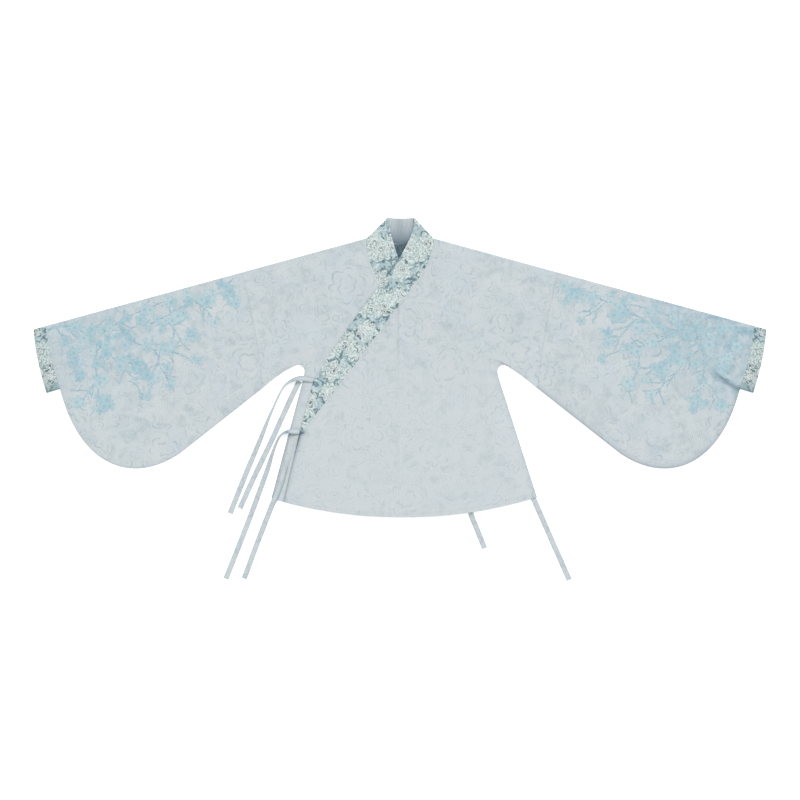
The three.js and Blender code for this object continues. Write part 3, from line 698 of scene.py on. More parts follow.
def spline(points, places):
    """Points on the smooth line through points; places count them from 0, and may lie between."""
    k = np.clip(np.floor(places).astype(int), 0, len(points) - 2)
    t = (places - k)[:, None]
    before, start, end, after = (
        points[np.clip(k + step, 0, len(points) - 1)] for step in (-1, 0, 1, 2))
    leave, arrive = (end - before) / 2, (after - start) / 2
    return ((2 * start - 2 * end + leave + arrive) * t ** 3
            + (3 * end - 3 * start - 2 * leave - arrive) * t ** 2 + leave * t + start)


def tie(name, route):
    route = np.array(route, float)
    places = np.arange((len(route) - 1) * SECTIONS_PER_STEP + 1) / SECTIONS_PER_STEP
    line = spline(route[:, :2], places)
    on, turn = (np.interp(places, np.arange(len(route)), column) for column in route[:, 2:].T)
    turn = np.radians(turn)
    along = np.gradient(line, axis=0)
    along /= np.linalg.norm(along, axis=1, keepdims=True)
    across = np.column_stack([-along[:, 1] * np.cos(turn), along[:, 0] * np.cos(turn), np.sin(turn)])
    height = on + TIE_WIDTH / 2 * np.sin(turn) + TIE_WALL / 2 * np.cos(turn)
    height += lift(*line.T) * np.clip(on / STRIP_TOP, 0, 1)
    middle = np.column_stack([line, height])
    rows = middle[:, None] + across[:, None] * (TIE_ACROSS * TIE_WIDTH)[:, None]
    run = np.concatenate([[0], np.cumsum(np.linalg.norm(np.diff(middle, axis=0), axis=1))])
    tie_lengths[name] = run[-1]
    chart = np.stack(np.broadcast_arrays(run[:, None], TIE_ACROSS * TIE_WIDTH), -1)
    return cloth("jacket_" + name, rows, chart, TIE_WALL)


for tie_name, tie_route in TIES.items():
    pieces[tie_name] = tie(tie_name, tie_route)
print("tie lengths in mm", {name: round(length) for name, length in tie_lengths.items()})

# %% [markdown]
# Inside the back of the neck, below the collar, a strip of the floral cloth faces the seam. It lies on the
# backs, and only the bit in the point of the neckline is ever seen.

# %% Neck facing
FACING_TOP, FACING_LOW, FACING_HALF = 364.6, 296, 44
FACING_TOP_BOW, FACING_LOW_BOW = 3.5, -14  # how far the ends of its edges lie above the middles
FACING_X = CENTRE_X - 4
FACING_LEVEL = BACK + CLOTH / 2 + 0.35
FACING_WALL = 0.4


def neck_facing():
    steps = np.linspace(-1, 1, 24)
    rows = []
    for share in np.linspace(0, 1, 16):
        top, low = (FACING_TOP + FACING_TOP_BOW * steps ** 2, FACING_LOW + FACING_LOW_BOW * steps ** 2)
        place_y = top + (low - top) * share
        place_x = FACING_X + FACING_HALF * steps
        height = FACING_LEVEL + BACK_SHARE * lift(place_x, place_y)
        rows.append(np.column_stack([place_x, place_y, height]))
    rows = np.array(rows)
    return cloth("jacket_neck_facing", rows, rows[..., :2], FACING_WALL)


facing = neck_facing()

# %% [markdown]
# The cloth is a jacquard: warp and weft of the same pale blue-grey thread, which change places so that
# flowers and curling clouds show only by their sheen. A printed cotton with small flowers makes the collar
# band and cuffs. Both patterns are built from one kind of figure, a rosette: a lobed disc filled with rings
# or, with a twist, a spiral. A cell texture scatters the discs, and the same node group draws them at each
# size.

# %% The rosette figure
def new_group(name, inputs, outputs):
    """An empty shader node group with float or vector sockets; an input's value says which."""
    group = bpy.data.node_groups.new(name, "ShaderNodeTree")
    for socket_name, value in inputs.items():
        kind = "NodeSocketVector" if value is None else "NodeSocketFloat"
        socket = group.interface.new_socket(socket_name, in_out="INPUT", socket_type=kind)
        if value is not None:
            socket.default_value = value
    for socket_name in outputs:
        group.interface.new_socket(socket_name, in_out="OUTPUT", socket_type="NodeSocketFloat")
    return group, group.nodes.new("NodeGroupInput").outputs, group.nodes.new("NodeGroupOutput").inputs


def make_rosettes():
    group, given, result = new_group(
        "rosettes",
        {"Place": None, "Cell": 0.05, "Reach": 0.5, "Lobes": 6.0, "Depth": 0.25, "Rings": 3.0, "Twist": 0.0,
         "Line": 0.12, "Jitter": 0.8},
        ["Fill", "Line", "Share", "Chance"])
    per_cell = add(group, "ShaderNodeMath", [1.0, given["Cell"]], operation="DIVIDE")
    scaled = add(group, "ShaderNodeVectorMath", {0: given["Place"], "Scale": per_cell}, operation="SCALE")
    centre = add(group, "ShaderNodeTexVoronoi", {
        "Vector": scaled, "Scale": 1.0, "Randomness": given["Jitter"]}, out="Position",
        voronoi_dimensions="2D")
    chance = add(group, "ShaderNodeSeparateColor", [centre.node.outputs["Color"]]).node.outputs
    local = add(group, "ShaderNodeVectorMath", [scaled, centre], operation="SUBTRACT")
    radius = add(group, "ShaderNodeVectorMath", [local], out="Value", operation="LENGTH")
    turn = add(group, "ShaderNodeMath", [chance[0], 2 * math.pi], operation="MULTIPLY")
    turned = add(group, "ShaderNodeVectorRotate", {"Vector": local, "Angle": turn}, rotation_type="Z_AXIS")
    angle = add(group, "ShaderNodeTexGradient", [turned], out="Fac", gradient_type="RADIAL")
    half_turns = add(group, "ShaderNodeMath", [given["Lobes"], math.pi], operation="MULTIPLY")
    wave = add(group, "ShaderNodeMath", [angle, half_turns], operation="MULTIPLY")
    petals = add(group, "ShaderNodeMath", [
        add(group, "ShaderNodeMath", [wave], operation="COSINE")], operation="ABSOLUTE")
    between = add(group, "ShaderNodeMath", [1.0, petals], operation="SUBTRACT")
    notch = add(group, "ShaderNodeMath", [between, given["Depth"]], operation="MULTIPLY")
    size = add(group, "ShaderNodeMapRange", {"Value": chance[1], "To Min": 0.68, "To Max": 1.0})
    reach = add(group, "ShaderNodeMath", [size, given["Reach"]], operation="MULTIPLY")
    edge = add(group, "ShaderNodeMath", [
        add(group, "ShaderNodeMath", [1.0, notch], operation="SUBTRACT"), reach], operation="MULTIPLY")
    share = add(group, "ShaderNodeMath", [radius, edge], operation="DIVIDE")
    fill = add(group, "ShaderNodeMapRange", {
        "Value": share, "From Min": 0.94, "From Max": 1.02, "To Min": 1.0, "To Max": 0.0})
    ringed = add(group, "ShaderNodeMath", [share, given["Rings"]], operation="MULTIPLY")
    spiral = add(group, "ShaderNodeMath", [angle, given["Twist"], ringed], operation="MULTIPLY_ADD")
    from_line = add(group, "ShaderNodeMath", [spiral, 0.5], operation="PINGPONG")
    line = add(group, "ShaderNodeMapRange", {
        "Value": from_line, "From Min": 0.0, "From Max": given["Line"], "To Min": 1.0, "To Max": 0.0},
        interpolation_type="SMOOTHSTEP")
    group.links.new(fill, result["Fill"])
    group.links.new(add(group, "ShaderNodeMath", [line, fill], operation="MULTIPLY"), result["Line"])
    group.links.new(share, result["Share"])
    group.links.new(chance[2], result["Chance"])
    return group


rosettes = make_rosettes()
print("rosette nodes", len(rosettes.nodes))

# %% [markdown]
# A few ways of drawing serve every cloth here. Colours are laid over a ground in turn, as a printer lays
# inks. Clouds of noise make a dyed ground uneven. Lines are drawn where a slowly changing value passes
# whole numbers, so they wander and never cross. Woven threads are a fine wave that only gives relief.

# %% Ways of drawing
RIB_PITCH = 0.005655  # metres; real threads lie 0.1 mm apart, too fine to show, so coarser ribs are drawn
WAVE_PERIOD = 2 * math.pi / 20  # metres from one band of a wave texture to the next at scale 1


def inked(tree, ground, *inks):
    """The ground with inks laid over it in turn; each ink is its share and its colour."""
    for share, ink in inks:
        ink = linear(ink) if isinstance(ink, str) else ink
        ground = add(tree, "ShaderNodeMix", {0: share, 6: ground, 7: ink}, out=2, data_type="RGBA")
    return ground


def clouds(tree, place, low, high, least=0.0, most=1.0, **noise):
    """Soft clouds: least where the noise is under low, most where it is over high."""
    noise = {name.capitalize(): value for name, value in noise.items()}
    value = add(tree, "ShaderNodeTexNoise", {"Vector": place, **noise}, out="Fac")
    return add(tree, "ShaderNodeMapRange", {
        "Value": value, "From Min": low, "From Max": high, "To Min": least, "To Max": most})


def rosette(tree, place, sizes):
    """A scatter of rosettes: sockets Fill, Line, Share and Chance by name."""
    return add(tree, "ShaderNodeGroup", {"Place": place, **sizes}, node_tree=rosettes).node.outputs


def bent_place(tree, place, size, reach):
    """The place pushed about by noise, so that nothing drawn there is quite regular."""
    bend = add(tree, "ShaderNodeTexNoise", {"Vector": place, "Scale": 1 / size, "Detail": 1.0}, out="Color")
    bend = add(tree, "ShaderNodeVectorMath", [bend, (0.5, 0.5, 0.5)], operation="SUBTRACT")
    return add(tree, "ShaderNodeVectorMath", [bend, (reach, reach, 0.0), place], operation="MULTIPLY_ADD")


def drawn_lines(tree, place, length, lines, width, most=1.0, fade="LINEAR"):
    """Wandering drawn lines: most on a line and 0 off it; length is from bend to bend in metres."""
    drawn = add(tree, "ShaderNodeTexNoise", {"Vector": place, "Scale": 1 / length, "Detail": 1.0}, out="Fac")
    drawn = add(tree, "ShaderNodeMath", [drawn, lines], operation="MULTIPLY")
    drawn = add(tree, "ShaderNodeMath", [drawn, 0.5], operation="PINGPONG")
    return add(tree, "ShaderNodeMapRange", {
        "Value": drawn, "From Min": 0.0, "From Max": width, "To Min": most, "To Max": 0.0},
        interpolation_type=fade)


def threads(tree, place, direction="X"):
    """The relief of threads that lie across a direction."""
    return add(tree, "ShaderNodeTexWave", {
        "Vector": place, "Scale": WAVE_PERIOD / RIB_PITCH}, out="Fac", bands_direction=direction)


def shaded(tree, colour):
    """The colour under the tint called shade: from 1 on it turns to deep shadow."""
    shade = add(tree, "ShaderNodeAttribute", out="Fac", attribute_name="shade")
    deep = add(tree, "ShaderNodeMath", [shade, 1.0], operation="SUBTRACT", use_clamp=True)
    return inked(tree, colour, (shade, "#7c8e9a"), (deep, "#353d43"))


print("ways of drawing ready")

# %% [markdown]
# Silk-like jacquard, woven from fine filament yarn. The figure's long floats catch the light, so they are a
# little smoother and bluer than the ground. Peonies lie scattered over curling clouds, netted or open, with
# ribbed shells and a vine between them.

# %% The woven figure
PEONY = {"Cell": 0.16, "Reach": 0.34, "Lobes": 7.0, "Depth": 0.3, "Rings": 2.5, "Line": 0.24, "Jitter": 0.8}
SCROLL = {"Cell": 0.034, "Reach": 0.7, "Lobes": 3.0, "Depth": 0.36, "Rings": 2.2, "Twist": 1.0, "Line": 0.26,
          "Jitter": 0.9}
SHELL = {"Cell": 0.092, "Reach": 0.38, "Lobes": 2.0, "Depth": 0.26, "Rings": 1.0, "Line": 0.2, "Jitter": 1.0}
VINE_LENGTH, VINE_LINES = 0.05, 5.5  # metres from bend to bend, and how closely the vines run
NET_PITCH, NET_THREAD = 0.0052, 0.27  # metres between the lines of a net, and how thin they are
NET_STRENGTH = 0.6


def stripes(tree, place, direction):
    """Fine lines across a direction, with the strength of the net on a line and 0 between."""
    direction = [part / NET_PITCH for part in direction]
    along = add(tree, "ShaderNodeVectorMath", [
        place, (*direction, 0.0)], out="Value", operation="DOT_PRODUCT")
    back_and_forth = add(tree, "ShaderNodeMath", [along, 0.5], operation="PINGPONG")
    line = add(tree, "ShaderNodeMath", [back_and_forth, NET_THREAD], operation="GREATER_THAN")
    return add(tree, "ShaderNodeMath", [line, NET_STRENGTH], operation="MULTIPLY")


def woven_figure(tree, place):
    """The jacquard's figure at a place on the cloth, from 0 for ground to 1 for the boldest line."""
    bent = bent_place(tree, bent_place(tree, place, 0.085, 0.06), 0.03, 0.014)
    peony, scroll, shell = (rosette(tree, bent, sizes) for sizes in (PEONY, SCROLL, SHELL))
    vine = drawn_lines(tree, bent, VINE_LENGTH, VINE_LINES, 0.2, 0.55, "SMOOTHSTEP")
    net = add(tree, "ShaderNodeMath", [
        stripes(tree, bent, (0.7, 0.7)), stripes(tree, bent, (0.7, -0.7))], operation="MAXIMUM")
    netted = add(tree, "ShaderNodeMath", [scroll["Chance"], 0.5], operation="GREATER_THAN")
    net = add(tree, "ShaderNodeMath", [net, netted], operation="MULTIPLY")
    curls = add(tree, "ShaderNodeMath", [scroll["Line"], net], operation="MAXIMUM")
    figure = add(tree, "ShaderNodeMix", {0: scroll["Fill"], 2: vine, 3: curls}, data_type="FLOAT")
    ribs = add(tree, "ShaderNodeMath", [
        stripes(tree, bent, (0.96, 0.28)), shell["Line"]], operation="MAXIMUM")
    chosen = add(tree, "ShaderNodeMath", [shell["Chance"], 0.45], operation="GREATER_THAN")
    shown = add(tree, "ShaderNodeMath", [shell["Fill"], chosen], operation="MULTIPLY")
    figure = add(tree, "ShaderNodeMix", {0: shown, 2: figure, 3: ribs}, data_type="FLOAT")
    return add(tree, "ShaderNodeMix", {0: peony["Fill"], 2: figure, 3: peony["Line"]}, data_type="FLOAT")


def woven_bump(tree, place, figure):
    """The relief of the figure and the threads."""
    warp, weft = threads(tree, place, "X"), threads(tree, place, "Y")
    weave = add(tree, "ShaderNodeMath", [warp, weft], operation="MULTIPLY")
    relief = add(tree, "ShaderNodeMath", [weave, 0.25, figure], operation="MULTIPLY_ADD")
    return add(tree, "ShaderNodeBump", {"Strength": 0.6, "Distance": 0.00012, "Height": relief})


print("net lines", NET_PITCH / MM, "mm apart")

# %% [markdown]
# The ground is dyed pale blue-grey, mottled and a little bluer in places, with fine slubs. The figure is
# not equally clear everywhere: it fades in and out, and it is calmer where the cloth is "layered". Near the
# cuffs the blue of the printed blossom tints the ground. In the left sleeve's tuck the same tint is partly
# painted shade of the fold.

# %% The jacquard
def make_jacquard():
    material, tree = new_material("pale jacquard, figured weave")
    place = add(tree, "ShaderNodeUVMap", uv_map="chart")
    figure = woven_figure(tree, place)
    wash_and_tuck_shade, layered = (add(tree, "ShaderNodeAttribute", out="Fac", attribute_name=name)
                     for name in ("wash_and_tuck_shade", "layered"))
    layered = add(tree, "ShaderNodeMath", [layered, 0.7], operation="MULTIPLY")
    patches = clouds(tree, place, 0.3, 0.7, scale=60.0, detail=3.0)
    wash_and_tuck_shade = add(tree, "ShaderNodeMath", [wash_and_tuck_shade, patches], operation="MULTIPLY")
    mottle = clouds(tree, place, 0.35, 0.65, scale=20.0, detail=5.0, roughness=0.7)
    bluer = clouds(tree, place, 0.5, 0.66, most=0.6, scale=11.0, detail=3.0, roughness=0.6)
    slub = clouds(tree, place, 0.35, 0.65, most=0.2, scale=260.0, detail=2.0)
    ground = inked(tree, linear("#c1cbcf"), (mottle, "#cdd3d5"), (bluer, "#c4d0d8"), (layered, "#cbd2d5"),
                   (slub, "#a8b5b9"), (wash_and_tuck_shade, "#94b3c0"))
    ground = shaded(tree, ground)

    patchy = add(tree, "ShaderNodeMath", [0.5, mottle], operation="SUBTRACT")
    strength = add(tree, "ShaderNodeMath", [patchy, 0.35, 0.9], operation="MULTIPLY_ADD")
    fading = clouds(tree, place, 0.38, 0.62, least=0.15, scale=55.0, detail=1.0)
    calm = add(tree, "ShaderNodeMath", [layered, -0.45, 1.0], operation="MULTIPLY_ADD")
    shown = figure
    for share in (strength, fading, calm):
        shown = add(tree, "ShaderNodeMath", [shown, share], operation="MULTIPLY")
    colour = add(tree, "ShaderNodeMix", {0: shown, 6: ground, 7: linear("#dde5e8")}, out=2, data_type="RGBA",
                 blend_type="MULTIPLY")
    rough = add(tree, "ShaderNodeMapRange", {"Value": figure, "To Min": 0.78, "To Max": 0.58})
    shader = add(tree, "ShaderNodeBsdfPrincipled", {
        "Base Color": colour, "Roughness": rough, "Normal": woven_bump(tree, place, figure),
        "Specular IOR Level": 0.35, "Sheen Weight": 0.12, "Sheen Roughness": 0.4})
    add(tree, "ShaderNodeOutputMaterial", [shader])
    return material


jacquard = make_jacquard()
print("jacquard nodes", len(jacquard.node_tree.nodes))

# %% [markdown]
# Printed cotton. Bunches of pale mint and cream five-petalled flowers, with fine grey-brown drawing, crowd
# over pale blue leaves and darker stems. A ragged teal shadow runs round each bunch and lifts it off the
# ground, and small round flowers have a dark eye. Like every print it lies flat in the cloth: it changes
# colour, and only the threads give relief. The same cloth faces the neck seam, its colours darkened there
# with painted shade, since it lies deep inside the neck.

# %% Floral cotton
BUNCH = {"Cell": 0.046, "Reach": 0.7, "Lobes": 7.0, "Depth": 0.3, "Rings": 1.0, "Line": 0.06, "Jitter": 0.8}
FLOWER = {"Cell": 0.027, "Reach": 0.66, "Lobes": 5.0, "Depth": 0.4,
          "Rings": 2.0, "Line": 0.24, "Jitter": 0.75}
LEAF = {"Cell": 0.026, "Reach": 0.62, "Lobes": 2.0, "Depth": 0.7, "Rings": 1.0, "Line": 0.08, "Jitter": 1.0}
EYE = {"Cell": 0.027, "Reach": 0.14, "Lobes": 5.0, "Depth": 0.3, "Rings": 1.0, "Line": 0.3, "Jitter": 0.75}
SHADOW_WIDTH = 0.3  # of a bunch's radius
SHADOW_PATCH = 0.024  # metres; the shadow comes and goes over this length
SCRIBBLE_LENGTH, SCRIBBLE_LINES = 0.007, 3.4
STEM_LENGTH, STEM_LINES = 0.022, 3.0


def make_floral(name, kept_in_shade=(1.0, 1.0, 1.0)):
    """The print; the second argument is the share of its red, green and blue left under painted shade."""
    # A colour of the print under painted shade; the collar's colours stay whole
    def in_shade(hex_colour):
        return (*[part * share for part, share in zip(linear(hex_colour), kept_in_shade)], 1.0)

    material, tree = new_material(name)
    place = add(tree, "ShaderNodeUVMap", uv_map="chart")
    bent = bent_place(tree, place, 0.02, 0.02)
    bunch, flower, leaf, eye = (rosette(tree, bent, sizes) for sizes in (BUNCH, FLOWER, LEAF, EYE))
    fleck = add(tree, "ShaderNodeTexNoise", {"Vector": place, "Scale": 190.0, "Detail": 2.0}, out="Fac")
    flecked = add(tree, "ShaderNodeMapRange", {"Value": fleck, "From Min": 0.42, "From Max": 0.58})
    patch = clouds(tree, place, 0.4, 0.56, least=0.12, most=0.9, scale=1 / SHADOW_PATCH, detail=1.0)
    scribble = drawn_lines(tree, bent, SCRIBBLE_LENGTH, SCRIBBLE_LINES, 0.15)
    stem_width = add(tree, "ShaderNodeMath", [patch, 0.26], operation="MULTIPLY")
    stems = drawn_lines(tree, bent, STEM_LENGTH, STEM_LINES, stem_width)
    shadow = add(tree, "ShaderNodeMapRange", {
        "Value": bunch["Share"], "From Min": 1.0, "From Max": 1.0 + SHADOW_WIDTH,
        "To Min": 0.62, "To Max": 0.12})
    ragged = add(tree, "ShaderNodeMath", [fleck, shadow], operation="ADD")
    ragged = add(tree, "ShaderNodeMapRange", {"Value": ragged, "From Min": 0.76, "From Max": 0.9})
    ragged = add(tree, "ShaderNodeMath", [ragged, patch], operation="MULTIPLY")
    ground = inked(tree, in_shade("#b1c4c8"), (leaf["Fill"], in_shade("#c4d3d5")), (scribble, in_shade("#7b979d")),
                   (leaf["Line"], in_shade("#6b8b92")), (stems, in_shade("#5c7f87")), (ragged, in_shade("#56777f")))

    petals = inked(tree, in_shade("#c0d2cc"), (flower["Chance"], in_shade("#d6d8d4")))
    petals = inked(tree, in_shade("#b9cacb"), (flower["Fill"], petals), (flecked, in_shade("#d8e2e0")),
                   (scribble, in_shade("#8b9b9a")), (flower["Line"], in_shade("#6f8589")))
    open_eye = add(tree, "ShaderNodeMath", [eye["Chance"], 0.5], operation="GREATER_THAN")
    open_eye = add(tree, "ShaderNodeMath", [open_eye, eye["Fill"]], operation="MULTIPLY")
    shade = add(tree, "ShaderNodeAttribute", out="Fac", attribute_name="shade")
    colour = inked(tree, ground, (bunch["Fill"], petals), (open_eye, in_shade("#64797f")),
                   (shade, in_shade("#5f7f88")))

    bump = add(tree, "ShaderNodeBump", {
        "Strength": 0.5, "Distance": 0.00006, "Height": threads(tree, place, "DIAGONAL")})
    shader = add(tree, "ShaderNodeBsdfPrincipled", {
        "Base Color": colour, "Roughness": 0.85, "Normal": bump, "Specular IOR Level": 0.3})
    add(tree, "ShaderNodeOutputMaterial", [shader])
    return material


floral = make_floral("printed floral cotton")
# The facing lies deep inside the neck, so its print is darkened with painted shade
floral_facing = make_floral("floral cotton facing in painted shade", kept_in_shade=(0.15, 0.21, 0.25))
print("floral nodes", len(floral.node_tree.nodes))

# %% [markdown]
# The collar's inside is a plain grey-blue satin facing. It is gathered a little towards the seam, which
# gives it fine pleats, their streaks painted shade, and deep in the neck towards the seam it darkens with
# painted shade.

# %% Satin facing
# The satin's own colour at the top, darkening with painted shade towards the seam
SATIN_COLOUR_AND_SHADE_STOPS = [(0.0, "#4d6069"), (0.2, "#7f8d97"), (0.5, "#a3aeb6"), (1.0, "#c2cace")]  # from the seam up


def make_satin():
    """Woven polyester satin: smooth and softly glossy, with a broad soft highlight."""
    material, tree = new_material("grey-blue satin facing")
    place = add(tree, "ShaderNodeUVMap", uv_map="chart")
    up = add(tree, "ShaderNodeAttribute", out="Fac", attribute_name="across")
    ramp = add(tree, "ShaderNodeValToRGB", [up])
    stops = ramp.node.color_ramp.elements
    for at, _ in SATIN_COLOUR_AND_SHADE_STOPS[1:-1]:
        stops.new(at)
    for stop, (_, hex_colour) in zip(stops, SATIN_COLOUR_AND_SHADE_STOPS):
        stop.color = linear(hex_colour)
    colour, heights = ramp, []
    # Each set of pleats darkens the satin in streaks of painted shade; only the first also gives relief
    for scale, distortion, depth, hex_colour in ((9.0, 1.6, 0.3, "#74868e"), (42.0, 9.0, 0.16, "#6b7a83")):
        pleats = add(tree, "ShaderNodeTexWave", {
            "Vector": place, "Scale": scale, "Distortion": distortion, "Detail": 2.0}, out="Fac")
        pleat_shade = add(tree, "ShaderNodeMapRange", {"Value": pleats, "To Min": depth, "To Max": 0.0})
        colour = inked(tree, colour, (pleat_shade, hex_colour))
        heights.append(pleats)
    bump = add(tree, "ShaderNodeBump", {"Strength": 0.5, "Distance": 0.0006, "Height": heights[0]})
    shader = add(tree, "ShaderNodeBsdfPrincipled", {"Base Color": colour, "Roughness": 0.5, "Normal": bump})
    add(tree, "ShaderNodeOutputMaterial", [shader])
    return material


satin = make_satin()
print("satin nodes", len(satin.node_tree.nodes))

# %% [markdown]
# The blossom sprays on the sleeves are printed. Their twigs are drawn as short curves, and bunches of
# flowers are placed along them one by one. One Geometry Nodes tree then turns each twig into a tapering
# ribbon and puts a five-petalled flower or a leaf at each place, since these repeat and differ only in
# size, turn and tint. The flat result is laid on the sleeve's own surface, a tenth of a millimetre proud of
# it, and follows every crease.

# %% Geometry Nodes helpers
SOCKET_KINDS = {bool: "NodeSocketBool", int: "NodeSocketInt", float: "NodeSocketFloat",
                bpy.types.Material: "NodeSocketMaterial"}


def geometry_tree(name, inputs):
    """An empty Geometry Nodes tree with named inputs; returns it with its input and output sockets."""
    tree = bpy.data.node_groups.new(name, "GeometryNodeTree")
    tree.interface.new_socket("Geometry", in_out="INPUT", socket_type="NodeSocketGeometry")
    for socket_name, value in inputs.items():
        socket = tree.interface.new_socket(socket_name, in_out="INPUT", socket_type=SOCKET_KINDS[type(value)])
        socket.default_value = value
    tree.interface.new_socket("Geometry", in_out="OUTPUT", socket_type="NodeSocketGeometry")
    return tree, tree.nodes.new("NodeGroupInput").outputs, tree.nodes.new("NodeGroupOutput").inputs


def grow(mesh, tree, values):
    """Runs a tree on a mesh, with the values of its named inputs, and returns the result as a plain mesh."""
    holder = put_object("grow", mesh)
    modifier = holder.modifiers.new("grow", "NODES")
    modifier.node_group = tree
    for socket in tree.interface.items_tree:
        if socket.in_out == "INPUT" and socket.name in values:
            modifier[socket.identifier] = values[socket.name]
    evaluated = holder.evaluated_get(bpy.context.evaluated_depsgraph_get())
    result = bpy.data.meshes.new_from_object(evaluated)
    bpy.data.objects.remove(holder)
    return result


def named(tree, attribute):
    """A number stored on the points by name."""
    return add(tree, "GeometryNodeInputNamedAttribute", {"Name": attribute}, data_type="FLOAT")


print("geometry helpers ready")

# %% The spray tree
OPEN_FLOWER, LEAF_SHAPE = 0.0, 1.0  # kinds of instance


def petal_disc(tree, petals, depth, stretch):
    """A flat disc of radius 1 with notched petals, squeezed by stretch; bloom keeps each point's place."""
    rim_points = add(tree, "ShaderNodeMath", [petals, 4.0], operation="MULTIPLY")
    disc = add(tree, "GeometryNodeMeshCone", {
        "Vertices": rim_points, "Side Segments": 2, "Radius Top": 0.0, "Radius Bottom": 1.0, "Depth": 0.0},
        fill_type="NONE")
    place = add(tree, "GeometryNodeInputPosition")
    x, y, _ = add(tree, "ShaderNodeSeparateXYZ", [place]).node.outputs
    half_petals = add(tree, "ShaderNodeMath", [petals, 0.5], operation="MULTIPLY")
    angle = add(tree, "ShaderNodeMath", [y, x], operation="ARCTAN2")
    wave = add(tree, "ShaderNodeMath", [
        add(tree, "ShaderNodeMath", [angle, half_petals], operation="MULTIPLY")], operation="COSINE")
    petal = add(tree, "ShaderNodeMath", [wave], operation="ABSOLUTE")
    notch = add(tree, "ShaderNodeMath", [1.0, depth], operation="SUBTRACT")
    reach = add(tree, "ShaderNodeMath", [petal, depth, notch], operation="MULTIPLY_ADD")
    lobed = add(tree, "ShaderNodeVectorMath", {0: place, "Scale": reach}, operation="SCALE")
    shape = add(tree, "GeometryNodeSetPosition", {"Geometry": disc, "Position": lobed})
    shape = add(tree, "GeometryNodeStoreNamedAttribute", {
        "Geometry": shape, "Name": "bloom", "Value": place}, data_type="FLOAT_VECTOR")
    return add(tree, "GeometryNodeTransform", {"Geometry": shape, "Scale": stretch})


def make_spray_tree(material):
    tree, given, result = geometry_tree("blossom spray", {
        "Petals": 5, "Petal depth": 0.5, "Leaf width": 0.42, "Size spread": 0.25, "Ragged": 0.008,
        "Ragged length": 0.009, "Seed": 3, "Material": material})
    is_printed = add(tree, "FunctionNodeCompare", [named(tree, "size"), 0.0], operation="GREATER_THAN")
    parts = add(tree, "GeometryNodeSeparateGeometry", {
        "Geometry": given["Geometry"], "Selection": is_printed}).node
    turn = add(tree, "FunctionNodeRandomValue", {2: 0.0, 3: 2 * math.pi, "Seed": given["Seed"]}, out=1,
               data_type="FLOAT")
    turn = add(tree, "ShaderNodeCombineXYZ", {"Z": turn})
    low = add(tree, "ShaderNodeMath", [1.0, given["Size spread"]], operation="SUBTRACT")
    high = add(tree, "ShaderNodeMath", [1.0, given["Size spread"]], operation="ADD")
    spread = add(tree, "FunctionNodeRandomValue", {2: low, 3: high, "Seed": given["Seed"]}, out=1,
                 data_type="FLOAT")
    size = add(tree, "ShaderNodeMath", [named(tree, "size"), spread], operation="MULTIPLY")
    leaf_stretch = add(tree, "ShaderNodeCombineXYZ", {"X": 1.0, "Y": given["Leaf width"], "Z": 1.0})
    joined = tree.nodes.new("GeometryNodeJoinGeometry")
    for kind, petals, depth, stretch in ((OPEN_FLOWER, given["Petals"], given["Petal depth"], (1, 1, 1)),
                                         (LEAF_SHAPE, 2, 0.3, leaf_stretch)):
        of_kind = add(tree, "FunctionNodeCompare", {0: named(tree, "kind"), 1: kind, "Epsilon": 0.1},
                      operation="EQUAL")
        printed = add(tree, "GeometryNodeInstanceOnPoints", {
            "Points": parts.outputs["Selection"], "Selection": of_kind, "Rotation": turn, "Scale": size,
            "Instance": petal_disc(tree, petals, depth, stretch)})
        tree.links.new(printed, joined.inputs[0])

    twigs = add(tree, "GeometryNodeMeshToCurve", {"Mesh": parts.outputs["Inverted"]})
    twigs = add(tree, "GeometryNodeSetCurveNormal", {"Curve": twigs}, mode="Z_UP")
    profile = add(tree, "GeometryNodeCurvePrimitiveLine", {"Start": (-0.5, 0, 0), "End": (0.5, 0, 0)})
    ribbons = add(tree, "GeometryNodeCurveToMesh", {
        "Curve": twigs, "Profile Curve": profile, "Scale": named(tree, "thickness")})
    tree.links.new(ribbons, joined.inputs[0])
    whole = add(tree, "GeometryNodeRealizeInstances", {"Geometry": joined.outputs[0]})
    per_length = add(tree, "ShaderNodeMath", [1.0, given["Ragged length"]], operation="DIVIDE")
    push = add(tree, "ShaderNodeTexNoise", {"Scale": per_length, "Detail": 1.0}, out="Color")
    push = add(tree, "ShaderNodeVectorMath", [push, (0.5, 0.5, 0.5)], operation="SUBTRACT")
    push = add(tree, "ShaderNodeVectorMath", [push, (1, 1, 0)], operation="MULTIPLY")
    push = add(tree, "ShaderNodeVectorMath", {0: push, "Scale": given["Ragged"]}, operation="SCALE")
    whole = add(tree, "GeometryNodeSetPosition", {"Geometry": whole, "Offset": push})
    whole = add(tree, "GeometryNodeSetMaterial", {"Geometry": whole, "Material": given["Material"]})
    tree.links.new(whole, result["Geometry"])
    return tree


